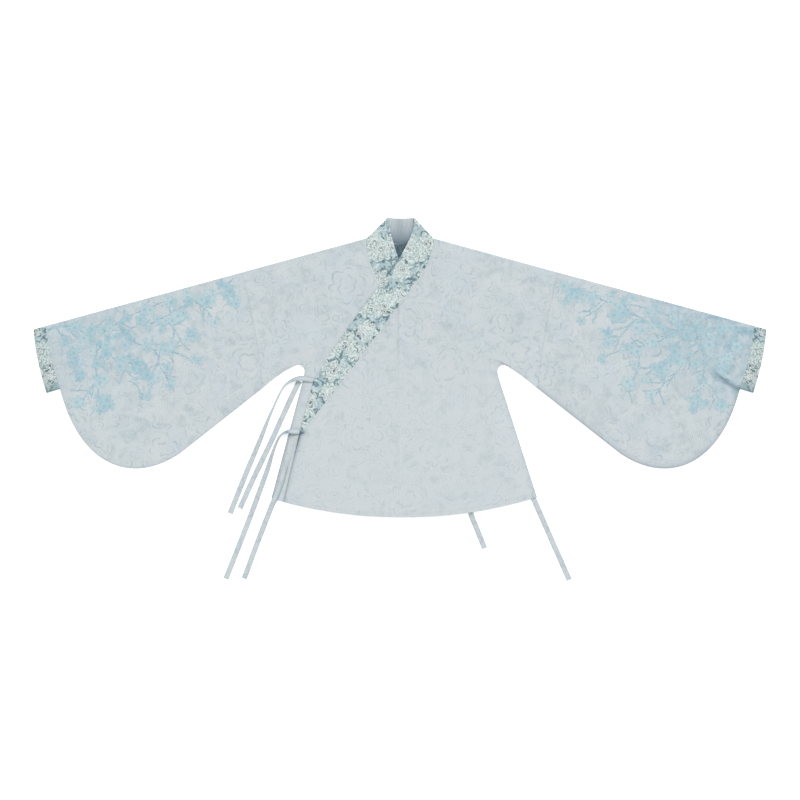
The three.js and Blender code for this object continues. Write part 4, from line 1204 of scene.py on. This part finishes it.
def make_blossom_print():
    """Pigment print: clear pale blue petals with a deeper heart and rim, and grey-blue twigs."""
    material, tree = new_material("pale blue pigment print")
    bloom = add(tree, "ShaderNodeAttribute", out="Vector", attribute_name="bloom")
    tone = add(tree, "ShaderNodeAttribute", out="Fac", attribute_name="tone")
    from_heart = add(tree, "ShaderNodeVectorMath", [bloom], out="Value", operation="LENGTH")
    place = add(tree, "ShaderNodeTexCoord", out="Object")
    cloudy = clouds(tree, place, 0.4, 0.62, scale=210.0, detail=2.0)
    paler = add(tree, "ShaderNodeMath", [cloudy, 0.7], operation="MULTIPLY")
    heart = add(tree, "ShaderNodeMapRange", {
        "Value": from_heart, "From Min": 0.1, "From Max": 0.4, "To Min": 0.6, "To Max": 0.0})
    rim = add(tree, "ShaderNodeMapRange", {
        "Value": from_heart, "From Min": 0.7, "From Max": 1.0, "To Min": 0.0, "To Max": 0.35})
    deeper = add(tree, "ShaderNodeMath", [heart, rim], operation="ADD")
    petals = inked(tree, linear("#98bcc8"), (tone, "#bbd0d5"), (paler, "#b2c6cc"), (deeper, "#8aaebb"))
    twigs = inked(tree, linear("#8eb1be"), (cloudy, "#a9c4cc"))
    is_twig = add(tree, "ShaderNodeMath", [from_heart, 0.0001], operation="LESS_THAN")
    colour = shaded(tree, inked(tree, petals, (is_twig, twigs)))
    bump = add(tree, "ShaderNodeBump", {"Strength": 0.5, "Distance": 0.00006, "Height": threads(tree, place)})
    shader = add(tree, "ShaderNodeBsdfPrincipled", {
        "Base Color": colour, "Roughness": 0.7, "Normal": bump, "Specular IOR Level": 0.35})
    add(tree, "ShaderNodeOutputMaterial", [shader])
    return material


spray_tree = make_spray_tree(make_blossom_print())
print("spray nodes", len(spray_tree.nodes))

# %% [markdown]
# The twigs come out of the cuff along the folded top edge and hang down the sleeve. Flowers crowd near the
# cuff and thin out towards the body. All four sprays, on the front and the back of each sleeve, start from
# these twigs, but each drifts a little from them and has side shoots and flowers of its own, as no printed
# repeat falls alike.

# %% Twigs and bunches
# Each twig: its pulls, and its thickness at the start, in millimetres
TWIGS = [
    ([(829, 163), (766, 190), (700, 152), (640, 160), (586, 178)], 6.2),
    ([(586, 178), (540, 196), (500, 236), (446, 240), (398, 258)], 4.1),
    ([(760, 172), (724, 128), (682, 108), (650, 62), (622, 30)], 5.2),
    ([(700, 128), (722, 92), (700, 52), (716, 12), (698, -16)], 4.3),
    ([(652, 160), (612, 126), (566, 118), (526, 122), (478, 94)], 4.5),
    ([(560, 188), (530, 166), (514, 132), (490, 128)], 3.3),
    ([(700, 152), (664, 196), (612, 206), (566, 232), (530, 238)], 3.8),
    ([(806, 168), (780, 132), (778, 104), (756, 74)], 4.3),
    ([(560, 118), (572, 84), (552, 56), (536, 36)], 2.8),
    ([(676, 96), (642, 96), (606, 74), (580, 52)], 3.0),
    ([(716, 40), (742, 22), (740, 0), (756, -14)], 2.6),
    ([(484, 232), (470, 206), (446, 204), (436, 186)], 2.6),
    ([(640, 44), (622, 36), (606, 12), (590, 8)], 2.4),
]
# Each bunch: x, y, how far its flowers spread, how many there are, and how pale they are from 0 to 1
BUNCHES = [
    (404, 252, 25, 8, 0.35), (388, 226, 12, 3, 0.6), (450, 238, 20, 6, 0.5), (432, 186, 9, 2, 0.7),
    (494, 240, 15, 4, 0.6), (538, 232, 15, 4, 0.5), (516, 196, 24, 7, 0.4), (488, 148, 19, 6, 0.45),
    (476, 94, 11, 3, 0.6), (560, 176, 18, 5, 0.5), (596, 208, 16, 4, 0.6), (604, 172, 20, 4, 0.4),
    (540, 120, 20, 6, 0.5), (590, 132, 16, 4, 0.6), (646, 190, 16, 3, 0.5), (642, 148, 26, 6, 0.3),
    (690, 172, 18, 4, 0.4), (686, 132, 30, 7, 0.25), (728, 160, 24, 5, 0.35), (736, 120, 22, 4, 0.45),
    (650, 94, 20, 5, 0.4), (612, 66, 22, 7, 0.35), (578, 48, 13, 4, 0.6), (552, 74, 10, 2, 0.7),
    (536, 34, 10, 2, 0.6), (704, 88, 15, 4, 0.5), (708, 46, 16, 4, 0.5), (700, -10, 22, 8, 0.4),
    (754, -12, 11, 3, 0.6), (764, 164, 15, 4, 0.4), (784, 132, 15, 4, 0.3), (758, 84, 18, 5, 0.4),
    (592, 8, 10, 2, 0.6), (770, 108, 9, 2, 0.3), (752, 58, 10, 3, 0.05),
]
FLOWER_SIZES = (7.5, 15.0)  # radius in millimetres
LEAF_SHARE = 0.3  # of the places in a bunch, leaves and half-open buds
TWIG_POINTS = 44
# How far the print stands off, and how much more each flower over another: less below, against the table
PRINT_PROUD, PRINT_STEP = {1: 0.1, -1: 0.04}, {1: 0.008, -1: 0.003}
TWIG_LAYERS, PRINT_LAYERS = 16, 40  # twigs that cross lie half a layer apart, and the flowers lie over them
TWIG_END, TWIG_KNOTS = 2.0, (0.75, 1.25)  # thickness at a twig's end in millimetres, and how much it varies
SHOOTS, SHOOT_LENGTHS, SHOOT_WIDTH = 4, (18, 44), 2.8  # side shoots of a twig, in millimetres
SHOOT_TURNS, SHOOT_BENDS = (35, 75), (-50, 20)  # degrees: how a shoot leaves its twig, and bends on its way
SHOOT_POINTS, FIRST_SHOOT = 12, 6  # points along a shoot, and the first point of a twig that may have one
GOLDEN_TURN = 2.4  # radians from each flower of a bunch to the next, which spreads them evenly
TONE_SPREAD = 0.3
FOLD_CLEAR = 1.2  # the print stops this far from the folded edge
PULL_DRIFT = 7  # millimetres; no two sprays have quite the same twigs
print("twigs", len(TWIGS), "bunches", len(BUNCHES))

# %% [markdown]
# A spray starts as a flat mesh: edges along its twigs, and loose points where flowers and leaves go. What
# the tree needs to know of each point is stored on it by name. Random draws have a fixed seed for each
# spray.

# %% Draw a spray
def twig_lines(random):
    """The twigs and their side shoots: each a line of points and its thickness at the start."""
    for pulls, width in TWIGS:
        pulls = [pulls[0], *(np.array(pulls[1:]) + random.normal(0, PULL_DRIFT, (len(pulls) - 1, 2)))]
        line = bezier(pulls, np.linspace(0, 1, TWIG_POINTS))
        yield line, width
        for k in random.integers(FIRST_SHOOT, TWIG_POINTS - 2, SHOOTS):
            run = math.atan2(*(line[k + 1] - line[k])[::-1])
            turns = [random.uniform(*SHOOT_TURNS), random.uniform(*SHOOT_BENDS)]
            turn, bend = np.radians(turns) * random.choice([-1, 1])
            reach = random.uniform(*SHOOT_LENGTHS) / 2
            middle = line[k] + reach * np.array([math.cos(run + turn), math.sin(run + turn)])
            end = middle + reach * np.array([math.cos(run + turn + bend), math.sin(run + turn + bend)])
            yield bezier([line[k], middle, end], np.linspace(0, 1, SHOOT_POINTS)), SHOOT_WIDTH


def spray_mesh(seed):
    """Edges along the twigs and loose points for the flowers, with their sizes and tones."""
    random = np.random.default_rng(seed)
    points, edges, size, tone, thickness, layer, kind = [], [], [], [], [], [], []
    for number, (line, width) in enumerate(twig_lines(random)):
        count, over = len(line), number % TWIG_LAYERS / 2
        edges += [(len(points) + k, len(points) + k + 1) for k in range(count - 1)]
        points += line.tolist()
        thickness += (np.linspace(width, TWIG_END, count) * random.uniform(*TWIG_KNOTS, count)).tolist()
        size, tone, layer, kind = (
            part + [value] * count for part, value in ((size, 0.0), (tone, 0.5), (layer, over), (kind, 0.0)))
    for x, y, spread, count, pale in BUNCHES:
        angle = GOLDEN_TURN * np.arange(count) + random.uniform(0, 6)
        reach = spread * np.sqrt((np.arange(count) + 0.3) / count)
        points += np.column_stack([x + reach * np.cos(angle), y + reach * np.sin(angle)]).tolist()
        size += (random.uniform(*FLOWER_SIZES, count) * MM).tolist()
        tone += np.clip(pale + random.normal(0, TONE_SPREAD, count), 0, 1).tolist()
        thickness += [0.0] * count
        layer += [TWIG_LAYERS / 2 + (len(points) + k) % PRINT_LAYERS for k in range(count)]
        kind += (random.uniform(0, 1, count) < LEAF_SHARE).astype(float).tolist()
    mesh = bpy.data.meshes.new("spray places")
    mesh.from_pydata([(x * MM, y * MM, 0) for x, y in points], edges, [])
    stored = {"size": size, "tone": tone, "thickness": np.array(thickness) * MM, "layer": layer, "kind": kind}
    for name, values in stored.items():
        mesh.attributes.new(name, "FLOAT", "POINT").data.foreach_set("value", values)
    return mesh


print("flowers and leaves in a spray", sum(bunch[3] for bunch in BUNCHES))

# %% [markdown]
# Flat things are laid on the cloth by a ray from above or below: each point drops straight onto the surface
# and stands off by its own height. The print stops just inside the fold and the cuff seam.

# %% Print the sleeves
LOOK_FROM = 0.05  # metres above or below, well clear of the cloth


def surface_of(names):
    """A search tree of the faces of some pieces, to lay things on."""
    points, faces = [], []
    for name in names:
        mesh = pieces[name].data
        faces += [[corner + len(points) for corner in face.vertices] for face in mesh.polygons]
        points += [point.co.copy() for point in mesh.vertices]
    return BVHTree.FromPolygons(points, faces)


def lay(mesh, surface, side, proud, edit=None):
    """Drops a flat mesh on a surface from above, where side is 1, or from below, where it is -1."""
    place = np.empty(len(mesh.vertices) * 3)
    mesh.vertices.foreach_get("co", place)
    place = place.reshape(-1, 3)
    if edit:
        edit(place)
    proud = np.broadcast_to(proud, len(place))
    for point, off in zip(place, proud):
        hit = surface.ray_cast((point[0], point[1], side * LOOK_FROM), (0, 0, -side))[0]
        if hit is None:
            hit = surface.find_nearest((point[0], point[1], 0))[0]
        point[:] = hit[0], hit[1], hit[2] + side * off * MM
    mesh.vertices.foreach_set("co", place.ravel())
    mesh.update()


def print_sleeve(side_name, sign, seeds):
    """The sprays on the front and the back of one sleeve, held inside its fold and its cuff seam."""
    def place_on_sleeve(place):
        x, y = place[:, 0] / MM, place[:, 1] / MM
        place[:, 1] = np.minimum(y, shoulder_y(x) - FOLD_CLEAR) * MM
        (low_x, low_y), top_x = WRIST, CUFF_TOP_X[0]
        seam_x = low_x + (top_x - low_x) * (y - low_y) / (shoulder_y(top_x) - low_y)
        place[:, 0] = sign * np.minimum(x, seam_x - FOLD_CLEAR) * MM

    surface = surface_of(["sleeve_" + side_name])
    sprays = []
    for side, layer_name, seed in ((1, "front", seeds[0]), (-1, "back", seeds[1])):
        mesh = grow(spray_mesh(seed), spray_tree, {"Seed": seed})
        mesh.name = f"jacket_print_{side_name}_{layer_name}"
        layer = np.empty(len(mesh.vertices))
        mesh.attributes["layer"].data.foreach_get("value", layer)
        lay(mesh, surface, side, PRINT_PROUD[side] + PRINT_STEP[side] * layer, place_on_sleeve)
        if sign * side < 0:
            mesh.flip_normals()
        mesh.shade_flat()
        sprays.append(put_object(mesh.name, mesh))
    return sprays


prints = print_sleeve("left", 1, (5, 6)) + print_sleeve("right", -1, (7, 8))
for spray in prints:
    print(spray.name, "triangles", sum(len(face.vertices) - 2 for face in spray.data.polygons))

# %% [markdown]
# The seams are pressed and stitched in matching thread. A stitch is a short smooth grain of thread, and
# there are thousands of them, so one Geometry Nodes tree sets them a stitch length apart along any line it
# is given. The lines are drawn on the cut, laid on the cloth, and only then sewn.

# %% The stitching tree
STITCH_PITCH, STITCH_LENGTH, THREAD = 3.0, 2.3, 0.42  # millimetres


def make_stitch_tree(material):
    sizes = {"Pitch": STITCH_PITCH * MM, "Length": STITCH_LENGTH * MM, "Thread": THREAD * MM}
    tree, given, result = geometry_tree("running stitches", {**sizes, "Material": material})
    line = add(tree, "GeometryNodeMeshToCurve", {"Mesh": given["Geometry"]})
    spots = add(tree, "GeometryNodeCurveToPoints", {
        "Curve": line, "Length": given["Pitch"]}, mode="LENGTH").node
    half_length = add(tree, "ShaderNodeMath", [given["Length"], 0.5], operation="MULTIPLY")
    half_thread = add(tree, "ShaderNodeMath", [given["Thread"], 0.5], operation="MULTIPLY")
    size = add(tree, "ShaderNodeCombineXYZ", {"X": half_thread, "Y": half_thread, "Z": half_length})
    grain = add(tree, "GeometryNodeMeshUVSphere", {"Segments": 5, "Rings": 4, "Radius": 1.0})
    stitches = add(tree, "GeometryNodeInstanceOnPoints", {
        "Points": spots.outputs["Points"], "Instance": grain, "Rotation": spots.outputs["Rotation"],
        "Scale": size})
    whole = add(tree, "GeometryNodeRealizeInstances", {"Geometry": stitches})
    whole = add(tree, "GeometryNodeSetShadeSmooth", {"Geometry": whole})
    whole = add(tree, "GeometryNodeSetMaterial", {"Geometry": whole, "Material": given["Material"]})
    tree.links.new(whole, result["Geometry"])
    return tree


def make_thread():
    """Spun polyester thread, with a twist that shows as fine slanting bands."""
    material, tree = new_material("spun sewing thread")
    place = add(tree, "ShaderNodeTexCoord", out="Object")
    twist = add(tree, "ShaderNodeTexWave", {"Vector": place, "Scale": 90.0}, out="Fac",
                bands_direction="DIAGONAL")
    colour = inked(tree, linear("#b4c0c4"), (twist, "#bfcace"))
    shader = add(tree, "ShaderNodeBsdfPrincipled", {"Base Color": colour, "Roughness": 0.6})
    add(tree, "ShaderNodeOutputMaterial", [shader])
    return material


stitch_tree = make_stitch_tree(make_thread())
print("stitch nodes", len(stitch_tree.nodes))

# %% Sew the seams
SEAM_OFFSET = 4.5  # millimetres from the collar to the line beside it
HEM_DEPTH, LAPEL_HEM = 9, 5
HEM_ENDS = (-276, 299)  # where the hem's line starts and ends
LINE_STEP = 4  # millimetres between the points of a line before it is laid


def beside(line, offset):
    """A line shifted sideways by offset, to the right of its run."""
    run = np.gradient(line, axis=0)
    run /= np.linalg.norm(run, axis=1, keepdims=True)
    return line + np.column_stack([run[:, 1], -run[:, 0]]) * offset


def even(line, step=LINE_STEP):
    """The line with points a step apart."""
    along = np.concatenate([[0], np.cumsum(np.hypot(*np.diff(line, axis=0).T))])
    steps = np.arange(0, along[-1], step)
    return np.column_stack([np.interp(steps, along, column) for column in line.T])


def seam_lines():
    """The stitched lines seen from above, then those on the underside."""
    fine = np.linspace(0, 1, 60)
    outer = np.concatenate([bezier(OUTER_NECK["sewn"], fine), bezier(OUTER_NECK["sewn_low"], fine[1:])])
    inner = bezier(INNER_NECK["sewn"], fine)[:40]
    across = np.linspace(*HEM_ENDS, 200)
    hem = np.column_stack([across, hem_y(across) + HEM_DEPTH])
    (edge_x, edge_y), low_x = OUTER_NECK["sewn_low"][2], OUTER_NECK["hem_x"]
    free_edge = np.array([(edge_x, edge_y - 6), (low_x, hem_y(low_x) + HEM_DEPTH)]) + [LAPEL_HEM, 0]
    above = [beside(outer, -SEAM_OFFSET)[2:], beside(inner, SEAM_OFFSET)[2:], hem, free_edge]
    below = [hem]
    for sign in (1, -1):
        seam = np.array([(CUFF_TOP_X[0] - 3, shoulder_y(CUFF_TOP_X[0]) - 3), (WRIST[0] - 2, WRIST[1] + 3)])
        above.append(flip(seam, sign))
        below.append(flip(seam, sign))
    return above, below


def sew(name, lines, side):
    lines = [even(line) for line in lines]
    starts_at = np.cumsum([0, *[len(line) for line in lines]])
    edges = [(k, k + 1) for first, line in zip(starts_at, lines) for k in range(first, first + len(line) - 1)]
    mesh = bpy.data.meshes.new(name + " lines")
    mesh.from_pydata([(x * MM, y * MM, 0) for x, y in np.concatenate(lines)], edges, [])
    lay(mesh, all_cloth, side, side * THREAD / 4)  # above proud of the cloth, below sunk into it
    stitches = grow(mesh, stitch_tree, {})
    stitches.name = name
    print(name, "stitches", round(sum(len(line) for line in lines) * LINE_STEP / STITCH_PITCH),
          "faces", len(stitches.polygons))
    return put_object(name, stitches)


all_cloth = surface_of(pieces)
lines_above, lines_below = seam_lines()
stitching = [sew("jacket_stitches_front", lines_above, 1), sew("jacket_stitches_back", lines_below, -1)]

# %% [markdown]
# Now the pieces get their cloth. The collar has two kinds: the floral print outside and the satin facing
# inside. They are one mesh, and each face chooses its material. The faces of a wall's one side come first
# in its mesh, and piece_facts says how many there are.

# %% Dress the pieces
FLORAL_PIECES = ("collar", "cuff_left", "cuff_right")
for node_name, piece in pieces.items():
    piece.data.materials.append(floral if node_name in FLORAL_PIECES else jacquard)
facing.data.materials.append(floral_facing)

collar_mesh = pieces["collar"].data
collar_mesh.materials.append(satin)
lined = np.zeros(len(collar_mesh.polygons), int)
lined[:piece_facts["jacket_collar"]["faces"]] = 1  # the place of satin among the collar's materials
collar_mesh.polygons.foreach_set("material_index", lined)
print("dressed", len(pieces), "pieces,", lined.sum(), "faces of the collar in satin")

# %% [markdown]
# The light is soft and the layers are thin, so it hardly shows where cloth turns under at an edge, is
# pressed along a seam or draws into a tuck. As on a retouched pattern sheet, that is painted: the points of
# a piece carry a tint called "shade", which runs along such lines and dies out beside them. At 1 it is the
# shade of a fold, and at 2 the dark of a gap. It stays with the cloth, whichever side the jacket is seen
# from.

# %% Tints along lines
def tint_points(piece, name, strength_at):
    """Stores a tint's strength at every point of a piece; strength_at takes x, y and z in millimetres."""
    mesh = piece.data
    place = np.empty(len(mesh.vertices) * 3)
    mesh.vertices.foreach_get("co", place)
    strength = strength_at(*place.reshape(-1, 3).T / MM)
    mesh.attributes.new(name, "FLOAT", "POINT").data.foreach_set("value", strength)


def near_line(x, y, line, reach):
    """1 on a line and dying out over reach beside it, all in millimetres."""
    gap = np.full(len(x), 1e3)
    for line_x, line_y in even(line, reach / 3):
        gap = np.minimum(gap, np.hypot(x - line_x, y - line_y))
    return np.exp(-gap / reach)


def along_lines(rows, base=lambda x, y, z: 0.0):
    """A tint from rows of a line, its strength and its reach, over a base; a strength may be a function."""
    def strength_at(x, y, z):
        strength = np.zeros_like(x) + base(x, y, z)
        for line, most, reach in rows:
            strength += (most(x, y, z) if callable(most) else most) * near_line(x, y, line, reach)
        return strength
    return strength_at


def on_top(most):
    """A strength that only the upper layer has."""
    return lambda x, y, z: most * (z > INNER)


def below(most, top):
    """A strength that stops at a height."""
    return lambda x, y, z: most * (y < top)


def from_above(most, top, low):
    """A strength that dies out between two heights."""
    return lambda x, y, z: most * smooth((y - low) / (top - low))


def flipped(rows, sign):
    return [(flip(line, sign), most, reach) for line, most, reach in rows]


print("tint helpers ready")

# %% Lines where the cloth turns under
fine = np.linspace(0, 1, 60)
POUCH = np.concatenate([[SEAM_LOW], bezier([SLEEVE_CORNER, *SLEEVE_ROUND, WRIST], fine)])
TOP_FOLD = np.array([(SHOULDER_X, SHOULDER_Y), (CUFF_TOP_X[0], shoulder_y(CUFF_TOP_X[0]))])
SLEEVE_SEAM = bowed_line((SEAM_TOP_X, shoulder_y(SEAM_TOP_X)), SEAM_LOW, SEAM_BOW, fine)
CENTRE_SEAM = np.array([(CENTRE_X, FRONT_CENTRE[0] + 40), (CENTRE_X, HEM_Y)])
CUFF_END = np.array([WRIST, CUFF_LOW])
TUCK = np.array([(742, 61), (755, 51), (767, 40), (780, 31), (798, 26)])
lapel_corner, lapel_hem_x = np.array(OUTER_NECK["sewn_low"][2]), OUTER_NECK["hem_x"]
LAPEL_EDGE = np.array([lapel_corner + [8, 3], lapel_corner, (lapel_hem_x, hem_y(lapel_hem_x))])
crossing = bezier(OUTER_NECK["free"], fine)
crossing = crossing[(crossing[:, 0] < 4) & (crossing[:, 1] > 290)]  # where the collar passes over itself

# Rows for along_lines: a line, its strength, and its reach in millimetres
PRESSED_SEAM, FOLDED_EDGE = (SLEEVE_SEAM, 0.1, 1.6), (TOP_FOLD, 0.13, 3)
CENTRE_SHADE = (CENTRE_SEAM, from_above(0.2, 200, -100), 1.6)
SLEEVE_SHADES = {"left": [(POUCH, 0.5, 6), (TUCK, on_top(0.95), 3)], "right": [(POUCH, 0.15, 4)]}
LAPEL_SHADES = [CENTRE_SHADE, (LAPEL_EDGE, 0.9, 2.8), (LAPEL_EDGE, from_above(1.1, -80, -140), 2.8),
                (LAPEL_EDGE, from_above(0.3, -70, -150), 9)]
CUFF_SHADES = [(TOP_FOLD, 0.3, 4), (CUFF_END, 0.8, 1.5)]
# The cuffs are darker all over, and more towards their lower ends; this goes into the shade tint
CUFF_DARKENING, CUFF_LOW_DARKENING = 0.12, 0.3  # all over a cuff, and how much more at its lower end
# Strengths and reaches along the side seams: the right one's edge shows as a strip beside the outer lapel
SIDE_SHADES = {"left": [(0.2, 4)], "right": [(0.2, 4), (below(0.35, 42), 3), (below(0.35, -60), 3)]}
print("the tuck runs", round(np.hypot(*np.diff(TUCK, axis=0).T).sum()), "mm")

# %% Shade the edges and seams
for (side_name, side), sprays in zip(SIDES.items(), (prints[:2], prints[2:])):
    sleeve_rows = flipped([PRESSED_SEAM, FOLDED_EDGE, *SLEEVE_SHADES[side_name]], side["sign"])
    for piece in (pieces["sleeve_" + side_name], *sprays):
        tint_points(piece, "shade", along_lines(sleeve_rows))
    side_seam = body_edge(side)[UNDERARM_LINE * PARTS:]
    side_rows = [(side_seam, *row) for row in SIDE_SHADES[side_name]]
    body_rows = [*flipped([PRESSED_SEAM, FOLDED_EDGE], side["sign"]), CENTRE_SHADE, *side_rows]
    tint_points(pieces["body_" + side_name], "shade", along_lines(body_rows))
    tint_points(pieces["cuff_" + side_name], "shade", along_lines(
        flipped(CUFF_SHADES, side["sign"]),
        base=lambda x, y, z: CUFF_DARKENING + CUFF_LOW_DARKENING * smooth((60 - y) / 40)))
tint_points(pieces["outer_lapel"], "shade", along_lines(LAPEL_SHADES))
tint_points(pieces["collar"], "shade", along_lines([(crossing, 1.1, 2.5)]))
print("shaded the seams and edges")

# %% [markdown]
# A tie gets painted shade along its rims, where it is turned, more where it lies on the jacket, and most
# where it twists or passes under something.

# %% Shade the ties
RIM, JACKET_RIM, RIM_REACH = 0.12, 0.55, 4
OFF_JACKET_X, OFF_JACKET_FADE = -270, 12  # the outer ties leave the jacket here
# Where the lower side tie's right rim gets painted shade on the strip of the right front: the strip's ends
# and their fades
STRIP_LOW, STRIP_HIGH, STRIP_FADES = -250, -135, (15, 40)
# The spot of deepest painted shade on a tie: its place, its reach and its strength
TIE_SPOTS = {"tie_outer_upper": (-250, 45, 12, 0.35), "tie_outer_lower": (-266, -77, 6, 1.1),
             "tie_inner_lapel": (167, -268, 4, 1.0)}


def tie_shade(tie_name):
    route = np.array(TIES[tie_name])[:, :2]
    middle = spline(route, np.linspace(0, len(route) - 1, 200))
    spot_x, spot_y, reach, most = TIE_SPOTS.get(tie_name, (0, 0, 1, 0))

    def strength_at(x, y, _):
        rim = np.full_like(x, RIM)
        if tie_name.startswith("tie_outer"):
            rim += JACKET_RIM * smooth((x - OFF_JACKET_X) / OFF_JACKET_FADE)
        if tie_name == "tie_side_lower":
            on_strip = smooth((y - STRIP_LOW) / STRIP_FADES[0]) * smooth((STRIP_HIGH - y) / STRIP_FADES[1])
            rim += on_strip * (x > np.interp(-y, -middle[:, 1], middle[:, 0]))
        spot = most * np.exp(-np.hypot(x - spot_x, y - spot_y) / reach)
        return spot + rim * (1 - near_line(x, y, middle, RIM_REACH)) ** 2
    return strength_at


for tie_name in TIES:
    tint_points(pieces[tie_name], "shade", tie_shade(tie_name))
print("shaded", len(TIES), "ties")

# %% [markdown]
# Two more tints stay on the jacquard. Round the sprays the blue has bled into the ground, more on the left
# sleeve and most in its tuck, where the tint is partly the print folded in and partly painted shade of the
# fold. Where the fronts lie over other layers the cloth looks paler and its figure calmer: that is "layered".

# %% Wash and layers
WASHES = {"left": 1.0, "right": 0.45}
WASH_FROM, WASH_WIDTH, WASH_DEPTH = 470, 260, 270  # millimetres: where the wash starts, deepens and dies out
LAYERS_TOP, LAYERS_HALF, LAYERS_FADES = 190, 330, (180, 90)  # how far up and out it goes, and its fades there
for side_name, washed in WASHES.items():
    def ground_wash(x, y, _):
        outwards, downwards = np.abs(x) - WASH_FROM, shoulder_y(x) - y
        return washed * smooth(outwards / WASH_WIDTH) * smooth(1 - downwards / WASH_DEPTH)

    # Along the tuck the tint is stronger: partly the print's blue folded in, partly painted shade of the fold
    tint_points(pieces["sleeve_" + side_name], "wash_and_tuck_shade", along_lines([(TUCK, on_top(1.8), 7)], ground_wash))
for node_name in ("body_left", "body_right", "outer_lapel"):
    tint_points(pieces[node_name], "layered", lambda x, y, z: (
        smooth((z - BACK - CLOTH) / 2) * smooth((LAYERS_TOP - y) / LAYERS_FADES[0])
        * smooth((LAYERS_HALF - np.abs(x)) / LAYERS_FADES[1])))
print("tinted the jacquard")

# %% [markdown]
# Every piece rides on the one body and stands for its solid. Each is a sheet of cloth, so it also says how
# big it was cut, in metres: on a sleeve or a cuff, all the way round the tube.

# %% Hand over the pieces
BODY_CUT = (0.39, 1.31)  # front and back in one, with the shoulder fold across its middle
CUFF_CUT = 0.03  # the width of a cuff's strip
FLAT = {
    "body_left": BODY_CUT, "body_right": BODY_CUT, "outer_lapel": (0.27, 0.5), "inner_lapel": (0.28, 0.5),
    "sleeve_left": (0.5, 0.78), "sleeve_right": (0.5, 0.78), "neck_facing": (0.09, 0.09),
}


def flat_size(node_name, piece):
    """The width and length of the rectangle that a piece was cut from, in metres."""
    area = piece_facts[piece.name]["area"]
    if node_name in tie_lengths:
        return TIE_WIDTH * MM, tie_lengths[node_name] * MM
    if node_name == "collar":
        return COLLAR_WIDTH * MM, area / (COLLAR_WIDTH * MM)
    if node_name.startswith("cuff"):
        return CUFF_CUT, area / CUFF_CUT
    return FLAT[node_name]


all_pieces = {**pieces, "neck_facing": facing}
for node_name, piece in all_pieces.items():
    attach(piece, "root")
    if node_name in pieces:
        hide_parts(node_name)
    flat, area = flat_size(node_name, piece), piece_facts[piece.name]["area"]
    min(area, flat[0] * flat[1])
    print(node_name, "cut from", [round(side, 3) for side in flat], "m, area", round(area, 4), "m2")

for extra in (*prints, *stitching):
    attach(extra, "root")
